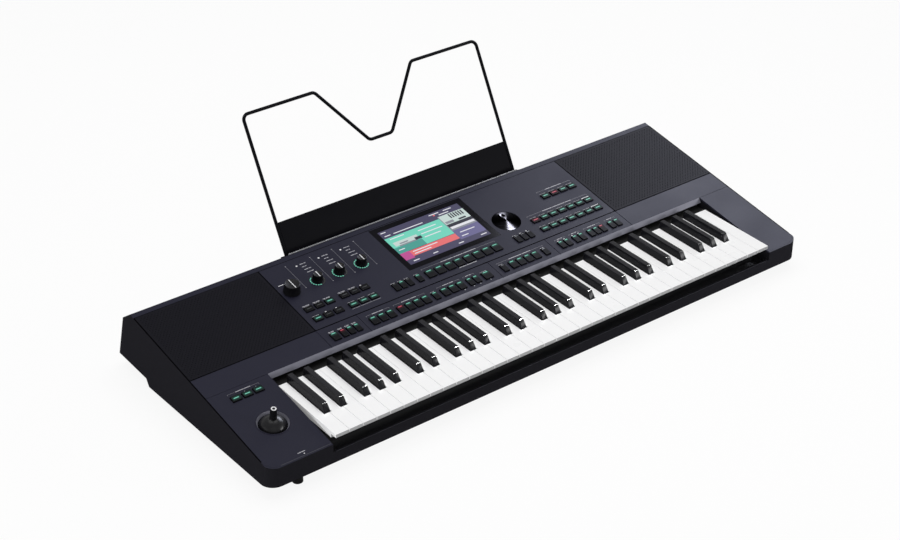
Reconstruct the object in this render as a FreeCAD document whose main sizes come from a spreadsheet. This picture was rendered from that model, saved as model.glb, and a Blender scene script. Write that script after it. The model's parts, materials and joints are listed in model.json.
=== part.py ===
import FreeCAD, Part
import math
import os
import re
import Sketcher

# Arranger keyboard with 61 keys, a sloping control panel, two loudspeakers and a wire music stand.
# Millimetres and degrees. X runs along the keys to the right, Y from the player to the back,
# Z up from the floor. The origin is on the floor, in the middle of the overall box.

SIZES = {
    # case shell
    "case_width": 1030,
    "case_depth": 422,
    "front_bottom": 20,
    "front_top": 52.5,
    "rail_top": 38,
    "slope_angle": 8.88,
    "cheek_depth": 169,
    "strip_depth": 43.5,
    "panel_depth": 159.5,
    "panel_width": 592,
    "left_cheek_width": 107,
    "right_cheek_least": 40,
    "rear_strip": 10.6,
    "rear_bevel_depth": 20,
    "rear_bevel_drop": 14.6,
    "rear_bottom": 20,
    "step_rear": 341,
    "step_top": 18,
    "step_front": 334,
    "step_bottom": 6,
    "front_corner_radius": 21.5,
    "wall": 4,
    "rim": 2.6,
    "shoulder_run": 2.2,
    "shoulder_drop": 5,
    "panel_thickness": 3,
    "seam_gap": 0.5,
    "groove_width": 0.9,
    "groove_depth": 0.8,
    "lip_run": 5.4,
    "lip_drop": 7.4,
    "lip_thickness": 4,
    "overrun": 20,
    "rib_width": 10,
    "board_boss_radius": 4,
    # keys
    "key_pitch": 23.5,
    "key_gap": 0.9,
    "well_left_gap": 5,
    "well_right_gap": 4,
    "key_front": 1,
    "key_top": 66,
    "key_height": 12,
    "lip_height": 5.6,
    "lip_depth": 12,
    "head_rear": 148,
    "key_wall": 2,
    "black_front": 52,
    "black_rear": 150,
    "black_width": 10.8,
    "black_top_width": 8.4,
    "black_rise": 12,
    "black_skirt": 10,
    "black_set_back": 7,
    "black_gap": 1.2,
    "white_tail_width": 9,
    "black_tail_width": 7,
    "tail_half_height": 4,
    "tail_reach": 5,
    "hinge_back": 209,
    "hinge_height": 54,
    "rod_radius": 1.5,
    "rod_fit": 0.05,
    "bed_front": 12,
    "bed_bottom": 30,
    "bed_thickness": 2,
    "bed_reach": 14,
    "bed_side": 3,
    "ear_thickness": 2.5,
    "ear_depth": 12,
    "ear_over": 4,
    "stop_front": 24,
    "stop_depth": 12,
    "stop_height": 10,
    "felt_thickness": 3,
    "dust_front": 151.5,
    "dust_back": 172,
    "dust_height": 59.5,
    "dust_thickness": 1.6,
    "contact_board_front": 84,
    "contact_board_depth": 32,
    "board_thickness": 1.6,
    "dome_radius": 5,
    "dome_top_radius": 3,
    "dome_height": 9,
    # push buttons
    "wide_width": 15.3,
    "wide_pitch": 18.65,
    "mid_width": 12.2,
    "mid_pitch": 15.3,
    "narrow_width": 9.4,
    "narrow_pitch": 12.5,
    "short_height": 11,
    "tall_height": 17,
    "button_rise": 2.2,
    "button_clearance": 0.35,
    "flange_gap": 0.3,
    "flange_reach": 0.8,
    "flange_thickness": 2.4,
    "switch_side": 6,
    "switch_height": 2,
    # boards behind the panel
    "board_drop": 9,
    "panel_board_front": 176,
    "panel_board_back": 322,
    "panel_board_margin": 4,
    "display_notch_width": 196,
    "display_notch_front": 246,
    "boss_radius": 3,
    "cheek_board_width": 72,
    "cheek_board_depth": 26,
    "main_board_width": 300,
    "main_board_depth": 96,
    "main_board_front": 236,
    "main_board_height": 32,
    "chip_side": 26,
    "chip_height": 3,
    "sink_width": 90,
    "sink_depth": 24,
    "sink_height": 22,
    # display
    "glass_width": 181,
    "glass_depth": 113,
    "glass_thickness": 2,
    "glass_rear_margin": 2,
    "glass_clearance": 0.2,
    "active_width": 157,
    "active_depth": 92,
    "window_margin": 2,
    "module_margin": 5,
    "module_thickness": 5,
    "module_gap": 0.2,
    # knobs and dial
    "shaft_radius": 3,
    "shaft_fit": 0.05,
    "shaft_hole_gap": 0.5,
    "pot_radius": 7,
    "knob_gap": 0.6,
    "knob_skin": 3,
    "volume_radius": 13.5,
    "volume_top_radius": 12,
    "volume_height": 15.5,
    "assign_radius": 8.5,
    "assign_top_radius": 7.6,
    "assign_height": 12.5,
    "ring_outer_radius": 12.5,
    "ring_inner_radius": 9.6,
    "ring_thickness": 1.2,
    "ring_fit": 0.05,
    "dial_radius": 24,
    "dial_top_radius": 23.2,
    "dial_height": 7.5,
    "dial_rise": 2,
    "dial_clearance": 0.5,
    "dial_dish_radius": 21,
    "dial_dish_depth": 1.8,
    "dimple_offset": 14.4,
    "dimple_sphere_radius": 8,
    "dimple_depth": 2.2,
    # joystick
    "joystick_radius": 25,
    "joystick_lip": 0.6,
    "bowl_top_radius": 23.6,
    "bowl_radius": 21.1,
    "bowl_depth": 4,
    "bowl_floor": 1.6,
    "can_depth": 26,
    "can_cavity_radius": 22.8,
    "can_base": 2,
    "pivot_depth": 12,
    "dome_sphere_radius": 21.5,
    "dome_wall": 1.8,
    "dome_skirt": 2,
    "stick_radius": 5.6,
    "stick_top_radius": 4.7,
    "stick_height": 27,
    "stick_core_radius": 4,
    "stick_core_drop": 3,
    "gimbal_outer_radius": 10,
    "gimbal_inner_radius": 7.5,
    "gimbal_height": 5,
    "pin_radius": 1.2,
    "pin_fit": 0.05,
    "post_inner": 11,
    "post_thickness": 4,
    "post_width": 6,
    "post_over": 3,
    # loudspeakers
    "speaker_radius": 60,
    "speaker_hole_radius": 52,
    "speaker_ring": 4,
    "basket_top_radius": 56,
    "basket_radius": 30,
    "basket_depth": 25,
    "basket_wall": 3,
    "magnet_depth": 18,
    "cone_gap": 0.5,
    "cone_wall": 1.2,
    "cone_depth": 20,
    "cone_bottom_radius": 16,
    # rear wall
    "rear_row_drop": 46,
    "jack_radius": 6,
    "jack_bore_radius": 3.25,
    "jack_depth": 16,
    "jack_bore_depth": 14,
    "jack_flange_radius": 8,
    "jack_flange": 1.6,
    "jack_clearance": 0.1,
    "inlet_width": 14,
    "inlet_height": 12,
    "inlet_depth": 15,
    "inlet_margin": 2,
    "inlet_bore_radius": 2.85,
    "inlet_bore_depth": 11,
    "power_radius": 5.5,
    "power_clearance": 0.3,
    "power_rise": 3,
    "power_flange_radius": 7,
    "power_flange": 2,
    # music stand
    "stand_inset": 4.5,
    "stand_lift": 1.4,
    "stand_tilt": 28.5,
    "stand_half_width": 228,
    "stand_height": 229,
    "stand_leg": 18,
    "wire_radius": 2.75,
    "bend_radius": 10,
    "notch_top_half": 95,
    "notch_bottom_half": 22,
    "notch_bottom": 129,
    "plate_height": 53,
    "plate_thickness": 2,
    "plate_gap": 0.1,
    "plate_seat_gap": 0.2,
    "shelf_depth": 10,
    "holder_reach": 8,
    "holder_front": 11,
    "holder_back": 4.5,
    "holder_drop": 7,
    "socket_radius": 4.6,
    "socket_depth": 21,
    "socket_fit": 0.1,
    "socket_floor": 2,
    # feet and screws
    "front_foot_radius": 8,
    "front_foot_inset": 58,
    "front_foot_back": 19,
    "right_foot_back": 40,
    "rear_foot_radius": 10,
    "rear_foot_back": 316,
    "rear_foot_inset": 70,
    "screw_radius": 1.5,
    "screw_head_radius": 3.5,
    "screw_head": 2,
    "screw_fit": 0.1,
}

# As many whole octaves as the width takes, with one more white key at the top.
key_room = SIZES["case_width"] - SIZES["left_cheek_width"] - SIZES["right_cheek_least"]
key_room -= SIZES["well_left_gap"] + SIZES["well_right_gap"]
OCTAVES = int((key_room / SIZES["key_pitch"] - 1) / 7)
WHITE_COUNT = 7 * OCTAVES + 1

# Places worked out from the driving sizes.
DERIVED = {
    "seam_mid": "cheek_depth + strip_depth",
    "seam_rear": "cheek_depth + strip_depth + panel_depth",
    "well_x": "left_cheek_width - case_width / 2",
    "key_x": "well_x + well_left_gap",
    "keys_width": f"{WHITE_COUNT} * key_pitch",
    "well_width": "keys_width + well_left_gap + well_right_gap",
    "seam_y": "seam_rear * cos(slope_angle)",
    "seam_z": "front_top + seam_rear * sin(slope_angle)",
    "ridge_y": "seam_y + rear_strip * cos(slope_angle)",
    "ridge_z": "seam_z + rear_strip * sin(slope_angle)",
    "edge_y": "ridge_y + rear_bevel_depth",
    "edge_z": "ridge_z - rear_bevel_drop",
    "bottom_slope": "(front_bottom - step_bottom) / step_front",
    "bevel_slope": "rear_bevel_drop / rear_bevel_depth",
    "wall_lean": "atan(wall_run / (edge_z - rear_bottom))",
    "wall_run": "case_depth - edge_y",
    "wall_turn": "acos(wall_run / sqrt(wall_run ^ 2 + (edge_z - rear_bottom) ^ 2))",
    "inner_lean": "(wall_run - 0.2 * wall) / (edge_z - rear_bottom - 2 * wall)",
    "plan_depth": "max(case_depth; edge_y)",
    "stand_y": "edge_y - stand_inset",
    "stand_z": "edge_z + stand_inset * bevel_slope + stand_lift",
    "middle_y": "(stand_y + stand_height * sin(stand_tilt) + wire_radius) / 2",
    "bed_top": "bed_bottom + bed_thickness",
    "key_under": "key_top - key_height",
    "flange_top": "0 - panel_thickness - flange_gap",
    "glass_front": "seam_rear - glass_rear_margin - glass_depth",
    "active_front": "glass_front + (glass_depth - active_depth) / 2",
    "speaker_x": "(panel_width + case_width) / 4",
    "speaker_s": "seam_mid + panel_depth / 2",
    "bowl_bottom": "0 - bowl_depth - bowl_floor",
    "dial_bottom": "dial_rise - dial_height",
}

WHITES_BESIDE_BLACK = ((0, 1), (1, 2), (3, 4), (4, 5), (5, 6))
# Middle of each black key in an octave, in key pitches:
# three white keys share five places, four share seven.
BLACK_CENTRE_SHARES = (3 * 1.5 / 5, 3 * 3.5 / 5, 3 + 4 * 1.5 / 7, 3 + 4 * 3.5 / 7, 3 + 4 * 5.5 / 7)

# Button fields: row across the plate's depth, first button across its width, how many of which kind.
PANEL_BUTTON_SHARES = {
    "left_panel_buttons": ((0.288, 0.032, "3 wide_short"), (0.288, 0.141, "3 wide_short"),
                           (0.132, 0.032, "3 wide_short"), (0.132, 0.141, "3 wide_short")),
    "page_buttons": ((0.134, 0.276, "3 narrow_tall"), (0.134, 0.350, "1 narrow_tall")),
    "screen_row_buttons": ((0.134, 0.387, "8 wide_tall"),),
    "dial_buttons": ((0.134, 0.682, "3 narrow_tall"),),
    "right_buttons_top": ((0.561, 0.8715, "4 wide_short"),),
    "right_buttons_middle": ((0.288, 0.777, "7 wide_short"),),
    "right_buttons_low": ((0.132, 0.777, "7 wide_short"),),
}
STRIP_BUTTON_SHARES = {
    "strip_buttons_1": ((0.402, 0.0305, "1 mid_tall"), (0.402, 0.0565, "3 narrow_tall")),
    "strip_buttons_2": ((0.402, 0.151, "3 mid_tall"), (0.402, 0.2365, "4 mid_tall"),
                        (0.402, 0.3455, "1 narrow_tall"), (0.402, 0.376, "3 mid_tall"),
                        (0.402, 0.458, "2 narrow_tall"), (0.402, 0.5135, "1 wide_tall")),
    "strip_buttons_3": ((0.402, 0.572, "1 narrow_tall"), (0.402, 0.603, "4 mid_tall"),
                        (0.402, 0.714, "1 narrow_tall")),
    "strip_buttons_4": ((0.402, 0.772, "2 narrow_tall"), (0.402, 0.8225, "2 narrow_tall"),
                        (0.402, 0.875, "3 narrow_tall"), (0.402, 0.950, "2 narrow_tall")),
}
CHEEK_BUTTON_SHARES = {"cheek_buttons": ((0.874, 0.381, "3 wide_short"),)}

# Rotary controls on the panel: place across the width and depth.
VOLUME_SHARES = (0.032, 0.588)
ASSIGN_SHARES = ((0.115, 0.609), (0.184, 0.609), (0.2535, 0.609))
DIAL_SHARES = (0.7045, 0.4325)
JOYSTICK_SHARES = (0.551, 0.473)
CHEEK_BOARD_SHARES = (0.555, 0.874)
STRIP_GROOVE_SHARES = (0.0, 0.122, 0.547, 0.743, 1.0)
PANEL_BOSS_SHARES = ((0.012, 0.40), (0.150, 0.40), (0.243, 0.13),
                     (0.664, 0.08), (0.757, 0.40), (0.988, 0.40))
RIB_SHARES = (0.045, 0.35, 0.65, 0.955)
SCREW_SHARES = (0.15, 0.85)
JACK_SHARES = (0.20, 0.23, 0.26, 0.29)
POWER_SHARE = 0.72
INLET_SHARE = 0.78
CHIP_SHARES = ((0.2, 0.3), (0.45, 0.35), (0.7, 0.25))
MIDDLE_SHARE = 0.5

ACROSS = FreeCAD.Vector(1, 0, 0)
BACKWARDS = FreeCAD.Vector(-1, 0, 0)
DEPTHWISE = FreeCAD.Vector(0, 1, 0)
QUARTER_TURN = "90"

doc = FreeCAD.newDocument("arranger_keyboard")
sheet = doc.addObject("Spreadsheet::Sheet", "Sizes")
for row, (alias, value) in enumerate(SIZES.items(), 1):
    sheet.set(f"A{row}", alias)
    sheet.set(f"B{row}", str(value))
    sheet.setAlias(f"B{row}", alias)
doc.recompute()

nodes = []


def bound(expression):
    """Write derived places out in full and point every size at its cell."""
    def swap(match):
        word = match.group()
        if word in DERIVED:
            return "(" + bound(DERIVED[word]) + ")"
        return "Sizes." + word if word in SIZES else word
    return re.sub(r"[a-z_][a-z_0-9]*", swap, str(expression))


def number(expression):
    return float(sheet.evalExpression(bound(expression)))


def place(thing, at=(0, 0, 0), axis=None, angle=None):
    if axis is not None:
        thing.Placement = FreeCAD.Placement(FreeCAD.Vector(), FreeCAD.Rotation(axis, 1))
        thing.setExpression("Placement.Rotation.Angle", bound(angle))
    for letter, expression in zip("xyz", at):
        if expression != 0:
            thing.setExpression("Placement.Base." + letter, bound(expression))
    return thing


def make(kind, name, sizes):
    thing = doc.addObject("Part::" + kind, name)
    for size, expression in sizes.items():
        thing.setExpression(size, bound(expression))
    return thing


def block(name, low, size):
    return place(make("Box", name, dict(zip(("Length", "Width", "Height"), size))), low)


def centred_block(name, width, depth, bottom, height):
    return block(name, (f"0 - ({width}) / 2", f"0 - ({depth}) / 2", bottom), (width, depth, height))


def panel_block(name, low, size):
    """A box whose low corner and sides are given in the sloping panel's own directions."""
    return on_panel(make("Box", name, dict(zip(("Length", "Width", "Height"), size))), low, "0")


def panel_rod(name, low, radius, height):
    """A cylinder that stands square on the sloping panel."""
    return on_panel(make("Cylinder", name, {"Radius": radius, "Height": height}), low, "0")


def rod(name, low, radius, height, axis=None):
    return place(make("Cylinder", name, {"Radius": radius, "Height": height}), low, axis, QUARTER_TURN)


def frustum(name, low, radius, top_radius, height):
    return place(make("Cone", name, {"Radius1": radius, "Radius2": top_radius, "Height": height}), low)


def ball(name, centre, radius):
    return place(make("Sphere", name, {"Radius": radius}), centre)


def fuse(name, pieces):
    thing = doc.addObject("Part::MultiFuse", name)
    thing.Shapes = pieces
    return thing


def common(name, pieces):
    thing = doc.addObject("Part::MultiCommon", name)
    thing.Shapes = pieces
    return thing


def group(name, pieces):
    thing = doc.addObject("Part::Compound", name)
    thing.Links = pieces
    return thing


def cut(name, base, tools):
    thing = doc.addObject("Part::Cut", name)
    thing.Base = base
    thing.Tool = tools[0] if len(tools) == 1 else group(name + "_tools", tools)
    return thing


def copy_at(thing, at):
    link = doc.addObject("App::Link", thing.Name + "_copy")
    link.LinkedObject = thing
    link.LinkTransform = True
    return place(link, at)


# Frames in which finished pieces are seated. The shift brings the overall box's middle to the origin.
def in_case(thing):
    return place(thing, (0, "0 - middle_y", 0))


def on_panel(thing, at=(0, 0, 0), shift="middle_y"):
    x, s, n = at
    y = f"({s}) * cos(slope_angle) - ({n}) * sin(slope_angle) - {shift}"
    z = f"front_top + ({s}) * sin(slope_angle) + ({n}) * cos(slope_angle)"
    return place(thing, (x, y, z), ACROSS, "slope_angle")


def on_rear_wall(thing, x, shift="middle_y"):
    y = f"edge_y + rear_row_drop * sin(wall_lean) - {shift}"
    z = "edge_z - rear_row_drop * cos(wall_lean)"
    return place(thing, (x, y, z), BACKWARDS, "wall_turn")


def on_stand(thing, shift="middle_y"):
    return place(thing, (0, f"stand_y - {shift}", "stand_z"), BACKWARDS, "stand_tilt")


def node(thing):
    nodes.append(thing)
    return thing


def flat_outline(body, name, role, points):
    """A closed outline of straight lines, every corner held by bound distances from the origin."""
    sketch = body.newObject("Sketcher::SketchObject", name)
    plane = next(feature for feature in body.Origin.OriginFeatures if feature.Role == role)
    sketch.AttachmentSupport = [(plane, "")]
    sketch.MapMode = "FlatFace"
    corners = [FreeCAD.Vector(number(u), number(v), 0) for u, v in points]
    count = len(corners)
    for i in range(count):
        sketch.addGeometry(Part.LineSegment(corners[i], corners[(i + 1) % count]), False)
    for i in range(count):
        sketch.addConstraint(Sketcher.Constraint("Coincident", i, 2, (i + 1) % count, 1))
    for i, (u, v) in enumerate(points):
        for kind, expression, value in (("DistanceX", u, corners[i].x), ("DistanceY", v, corners[i].y)):
            index = sketch.addConstraint(Sketcher.Constraint(kind, -1, 1, i, 1, value))
            if expression != 0:
                sketch.setExpression(f"Constraints[{index}]", bound(expression))
    return sketch


def pad(name, role, points, length, start_x):
    body = doc.addObject("PartDesign::Body", name)
    sketch = flat_outline(body, name + "_outline", role, points)
    feature = body.newObject("PartDesign::Pad", name + "_pad")
    feature.Profile = sketch
    feature.setExpression("Length", bound(length))
    place(body, (start_x, 0, 0))
    return body


def plan(name, inset):
    """Upright prism of the case's outline seen from above, drawn in by an inset."""
    right = f"case_width - ({inset})"
    back = f"plan_depth - ({inset})"
    corners = ((inset, inset), (right, inset), (right, back), (inset, back))
    body = pad(name, "XY_Plane", corners, "seam_z + overrun", "0 - case_width / 2")
    doc.recompute()
    base = body.Tip
    front = number(inset)
    upright = []
    for index, edge in enumerate(base.Shape.Edges, 1):
        low, high = (vertex.Point for vertex in edge.Vertexes)
        at_front = abs(low.y - front) < number("rim") and abs(high.y - front) < number("rim")
        if at_front and abs(low.z - high.z) > number("rim"):
            upright.append(f"Edge{index}")
    fillet = body.newObject("PartDesign::Fillet", name + "_corners")
    fillet.Base = (base, upright)
    fillet.setExpression("Radius", bound(f"front_corner_radius - ({inset})"))
    return body


def shoulders():
    """Long prism that leaves a bevel along the left and right edge of the sloping top."""
    half = "case_width / 2"
    beyond, within = f"{half} + shoulder_run", f"{half} - 2 * shoulder_run"
    outline = ((f"0 - ({beyond})", "0 - 2 * case_depth"), (f"0 - ({beyond})", "0 - 2 * shoulder_drop"),
               (f"0 - ({within})", "shoulder_drop"), (within, "shoulder_drop"),
               (beyond, "0 - 2 * shoulder_drop"), (beyond, "0 - 2 * case_depth"))
    prism = pad("case_shoulders", "XZ_Plane", outline, "4 * case_depth", "0 * case_width")
    return on_panel(prism, (0, "2 * case_depth", 0), "0")


def whole_case():
    outline = ((0, "front_bottom"), (0, "front_top"), ("ridge_y", "ridge_z"), ("edge_y", "edge_z"),
               ("case_depth", "rear_bottom"), ("step_rear", "step_top"), ("step_front", "step_bottom"))
    side = pad("case_side", "YZ_Plane", outline, "case_width", "0 - case_width / 2")
    return common("case_form", [side, plan("case_plan", "0 * rim"), shoulders()])


def case_cavity():
    outline = (("wall", "front_bottom + wall"), ("wall", "front_top"), ("seam_y - wall", "seam_z"),
               ("seam_y - wall", "seam_z - 2 * panel_thickness"),
               ("edge_y - wall + wall * inner_lean", "edge_z - 2 * wall"),
               ("case_depth - 1.2 * wall", "rear_bottom + wall"),
               ("step_rear - wall / 2", "step_top + wall"), ("step_front - wall", "step_bottom + wall"))
    side = pad("cavity_side", "YZ_Plane", outline, "case_width - 2 * wall", "wall - case_width / 2")
    return common("case_cavity", [side, plan("cavity_plan", "wall")])


def rib_places():
    for share in RIB_SHARES:
        yield f"key_x + {share} * keys_width"


def screw_places():
    for x in rib_places():
        for share in SCREW_SHARES:
            yield x, f"bed_front + {share} * (hinge_back + bed_reach - bed_front)"


def case_inside(form):
    """Well walls beside the keys, ribs under the key bed and bosses under the main board."""
    wall_run = "cheek_depth * cos(slope_angle) - wall / 2"
    pieces = []
    for x in ("well_x - wall", "well_x + well_width"):
        pieces.append(block("well_wall", (x, "wall / 2", 0), ("wall", wall_run, "seam_z")))
    for x in rib_places():
        low = (f"{x} - rib_width / 2", "bed_front", 0)
        rib_run = "hinge_back + bed_reach - bed_front"
        pieces.append(block("bed_rib", low, ("rib_width", rib_run, "bed_bottom")))
    for side in ("-", "+"):
        for y in ("main_board_front + board_boss_radius",
                  "main_board_front + main_board_depth - board_boss_radius"):
            x = f"0 {side} (main_board_width / 2 - board_boss_radius)"
            pieces.append(rod("board_boss", (x, y, 0), "board_boss_radius", "main_board_height"))
    return common("case_inside", [form, group("case_inside_pieces", pieces)])


def rear_x(share):
    return f"({share} - {MIDDLE_SHARE}) * case_width"


def bottom_case(form, pocket_plan):
    hollow = cut("case_hollow", form, [case_cavity()])
    shell = fuse("case_with_ribs", [hollow, case_inside(form)])
    pocket = common("plate_pocket", [
        panel_block("plate_space", ("0 - case_width / 2", "0 - overrun", "0 - panel_thickness"),
                    ("case_width", "seam_rear + overrun", "panel_thickness + overrun")), pocket_plan])
    well = block("well_opening", ("well_x", "0 - overrun", "rail_top"),
                 ("well_width", "overrun + wall + rim", "overrun + front_top - rail_top"))
    openings = fuse("case_openings", [pocket, well])
    holes = [openings]
    for x, y in screw_places():
        holes.append(rod("screw_hole", (x, y, 0), "screw_radius + screw_fit", "bed_bottom + overrun"))
    for share in JACK_SHARES:
        hole = wall_hole("jack_hole", "jack_radius + jack_clearance")
        holes.append(on_rear_wall(group("jack_hole_seat", [hole]), rear_x(share), "0"))
    power_hole = wall_hole("power_hole", "power_radius + power_clearance")
    holes.append(on_rear_wall(group("power_hole_seat", [power_hole]), rear_x(POWER_SHARE), "0"))
    inlet_hole = centred_block("inlet_hole", "inlet_width + 2 * jack_clearance",
                               "inlet_height + 2 * jack_clearance", "0 - 1.5 * wall", "3 * wall")
    holes.append(on_rear_wall(group("inlet_hole_seat", [inlet_hole]), rear_x(INLET_SHARE), "0"))
    for side in ("-", "+"):
        hole = rod("socket_hole", (f"0 {side} stand_half_width", 0, "0 - socket_depth - socket_fit"),
                   "socket_radius + socket_fit", "socket_depth + overrun")
        holes.append(on_stand(group("socket_hole_seat", [hole]), "0"))
    holes.append(on_stand(group("holder_space_seat", [holder_block("holder_space", "overrun")]), "0"))
    node(in_case(cut("bottom_case", shell, holes)))


def wall_hole(name, radius):
    """A cylinder through the rear wall, half its length on each side of the outer face."""
    return rod(name, (0, 0, "0 - 1.5 * wall"), radius, "3 * wall")


def button_size(kind):
    width, height = kind.split("_")
    return width + "_width", width + "_pitch", height + "_height"


def button_form(kind):
    width, pitch, height = button_size(kind)
    cap = centred_block(kind + "_cap", width, height, "flange_top", "button_rise - flange_top")
    flange = centred_block(kind + "_flange", f"{width} + 2 * flange_reach", f"{height} + 2 * flange_reach",
                           "flange_top - flange_thickness", "flange_thickness")
    return fuse(kind + "_button", [cap, flange])


def button_hole_form(kind):
    width, pitch, height = button_size(kind)
    return centred_block(kind + "_hole", f"{width} + 2 * button_clearance", f"{height} + 2 * button_clearance",
                         "0 - 2 * panel_thickness", "3 * panel_thickness")


def button_places(fields, left, width, front, depth):
    for row_share, first_share, run in fields:
        count, kind = run.split()
        pitch = button_size(kind)[1]
        for index in range(int(count)):
            x = f"{left} + {first_share} * {width} + {index} * {pitch}"
            yield kind, x, f"{front} + {row_share} * {depth}"


def button_fields():
    """Every button node with the plate that carries it and the places of its buttons."""
    left = "0 - panel_width / 2"
    for name, fields in PANEL_BUTTON_SHARES.items():
        yield name, "panel", button_places(fields, left, "panel_width", "seam_mid", "panel_depth")
    for name, fields in STRIP_BUTTON_SHARES.items():
        yield name, "strip", button_places(fields, left, "panel_width", "cheek_depth", "strip_depth")
    left = "0 - case_width / 2"
    for name, fields in CHEEK_BUTTON_SHARES.items():
        yield name, "cheek", button_places(fields, left, "left_cheek_width", "0", "cheek_depth")


def buttons():
    """The button nodes, and for each plate the holes and switches that go with them."""
    kinds = ("wide_short", "wide_tall", "mid_tall", "narrow_tall")
    forms = {kind: button_form(kind) for kind in kinds}
    hole_forms = {kind: button_hole_form(kind) for kind in kinds}
    switch = centred_block("switch_form", "switch_side", "switch_side", "0 - board_drop", "switch_height")
    holes = {"panel": [], "strip": [], "cheek": []}
    switches = []
    for name, carrier, places in button_fields():
        caps = []
        for kind, x, s in places:
            caps.append(copy_at(forms[kind], (x, s, 0)))
            holes[carrier].append(copy_at(hole_forms[kind], (x, s, 0)))
            switches.append(copy_at(switch, (x, s, 0)))
        node(on_panel(group(name, caps)))
    tools = {}
    for carrier, cuts in holes.items():
        tools[carrier] = on_panel(group(carrier + "_button_holes", cuts), shift="0")
    return tools, switches


def panel_place(shares):
    across, along = shares
    return f"{across} * panel_width - panel_width / 2", f"seam_mid + {along} * panel_depth"


def joystick_place():
    across, along = JOYSTICK_SHARES
    return f"{across} * left_cheek_width - case_width / 2", f"{along} * cheek_depth"


def plate(name, plate_plan, left, right, front, back):
    slab = panel_block(name + "_slab", (left, front, "0 - panel_thickness"),
                       (f"({right}) - ({left})", f"({back}) - ({front})", "panel_thickness"))
    return common(name + "_form", [slab, plate_plan])


def bosses(name, places):
    pieces = []
    for x, s in places:
        low = (x, s, "0 - board_drop")
        pieces.append(panel_rod(name, low, "boss_radius", "board_drop - panel_thickness"))
    return pieces


def cheek_board_place():
    across, along = CHEEK_BOARD_SHARES
    return f"{across} * left_cheek_width - case_width / 2", f"{along} * cheek_depth"


def cheek_board_ends():
    x, s = cheek_board_place()
    for side in ("-", "+"):
        yield f"{x} {side} (cheek_board_width / 2 - boss_radius)", s


def cheeks(plate_plan, tools):
    front, back = "0 - overrun", "cheek_depth - seam_gap / 2"
    left = plate("left_cheek", plate_plan, "0 - case_width / 2", "well_x", front, back)
    x, s = joystick_place()
    hole = panel_rod("joystick_hole", (x, s, "0 - 2 * panel_thickness"), "joystick_radius + shaft_fit",
                     "3 * panel_thickness")
    bossed = fuse("left_cheek_bossed", [left] + bosses("cheek_boss", cheek_board_ends()))
    node(in_case(cut("left_cheek", bossed, [tools["cheek"], hole])))
    right = plate("right_cheek", plate_plan, "well_x + well_width", "case_width / 2", front, back)
    node(in_case(group("right_cheek", [right])))


def top_deck(plate_plan, tools):
    flat = plate("top_deck", plate_plan, "0 - case_width / 2", "case_width / 2",
                 "cheek_depth + seam_gap / 2", "seam_mid - seam_gap / 2")
    left, right = "well_x + seam_gap", "well_x + well_width - seam_gap"
    lip = make("Wedge", "deck_lip", {
        "Xmin": left, "Xmax": right, "X2min": left, "X2max": right,
        "Ymin": "0 - lip_drop", "Ymax": "0 * lip_drop",
        "Zmin": "lip_run - lip_thickness", "Zmax": "lip_run",
        "Z2min": "0 - lip_thickness", "Z2max": "0 * lip_run"})
    place(lip, (0, "(cheek_depth + seam_gap / 2) * cos(slope_angle)",
                "front_top + (cheek_depth + seam_gap / 2) * sin(slope_angle)"), ACROSS, "90 + slope_angle")
    grooves = []
    for share in STRIP_GROOVE_SHARES:
        x = f"{share} * panel_width - panel_width / 2"
        low = (f"{x} - groove_width / 2", "cheek_depth", "0 - groove_depth")
        size = ("groove_width", "strip_depth", "2 * groove_depth")
        grooves.append(panel_block("strip_groove", low, size))
    lipped = fuse("top_deck_form_lip", [flat, lip])
    node(in_case(cut("top_deck", lipped, [tools["strip"]] + grooves)))


def control_panel(plate_plan, tools):
    half = "(panel_width - seam_gap) / 2"
    flat = plate("control_panel", plate_plan, f"0 - {half}", half,
                 "seam_mid + seam_gap / 2", "seam_rear - seam_gap / 2")
    corners = [panel_place(shares) for shares in PANEL_BOSS_SHARES]
    bossed = fuse("control_panel_bossed", [flat] + bosses("panel_boss", corners))
    low = ("0 - glass_width / 2 - glass_clearance", "glass_front - glass_clearance", "0 - glass_thickness")
    size = ("glass_width + 2 * glass_clearance", "glass_depth + 2 * glass_clearance", "overrun")
    seat = panel_block("glass_seat", low, size)
    low = ("0 - active_width / 2 - window_margin", "active_front - window_margin", "0 - 2 * panel_thickness")
    size = ("active_width + 2 * window_margin", "active_depth + 2 * window_margin", "overrun")
    window = panel_block("glass_window", low, size)
    holes = [tools["panel"], fuse("display_opening", [seat, window])]
    for shares, radius in ((VOLUME_SHARES, "shaft_radius + shaft_hole_gap"),
                           (DIAL_SHARES, "dial_radius + dial_clearance")):
        x, s = panel_place(shares)
        low = (x, s, "0 - 2 * panel_thickness")
        holes.append(panel_rod("control_hole", low, radius, "3 * panel_thickness"))
    for shares in ASSIGN_SHARES:
        x, s = panel_place(shares)
        hole = rod("encoder_hole", (0, 0, "0 - 2 * panel_thickness"), "shaft_radius + shaft_hole_gap",
                   "3 * panel_thickness")
        recess = rod("ring_recess", (0, 0, "0 - ring_thickness"), "ring_outer_radius + ring_fit", "overrun")
        holes.append(on_panel(fuse("ring_opening", [hole, recess]), (x, s, 0), "0"))
    node(in_case(cut("control_panel", bossed, holes)))


def grilles(plate_plan):
    front, back = "seam_mid + seam_gap / 2", "seam_rear - seam_gap / 2"
    inner = "(panel_width + seam_gap) / 2"
    left = plate("left_grille", plate_plan, "0 - case_width / 2", f"0 - {inner}", front, back)
    right = plate("right_grille", plate_plan, inner, "case_width / 2", front, back)
    node(in_case(group("left_grille", [left])))
    node(in_case(group("right_grille", [right])))


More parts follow.
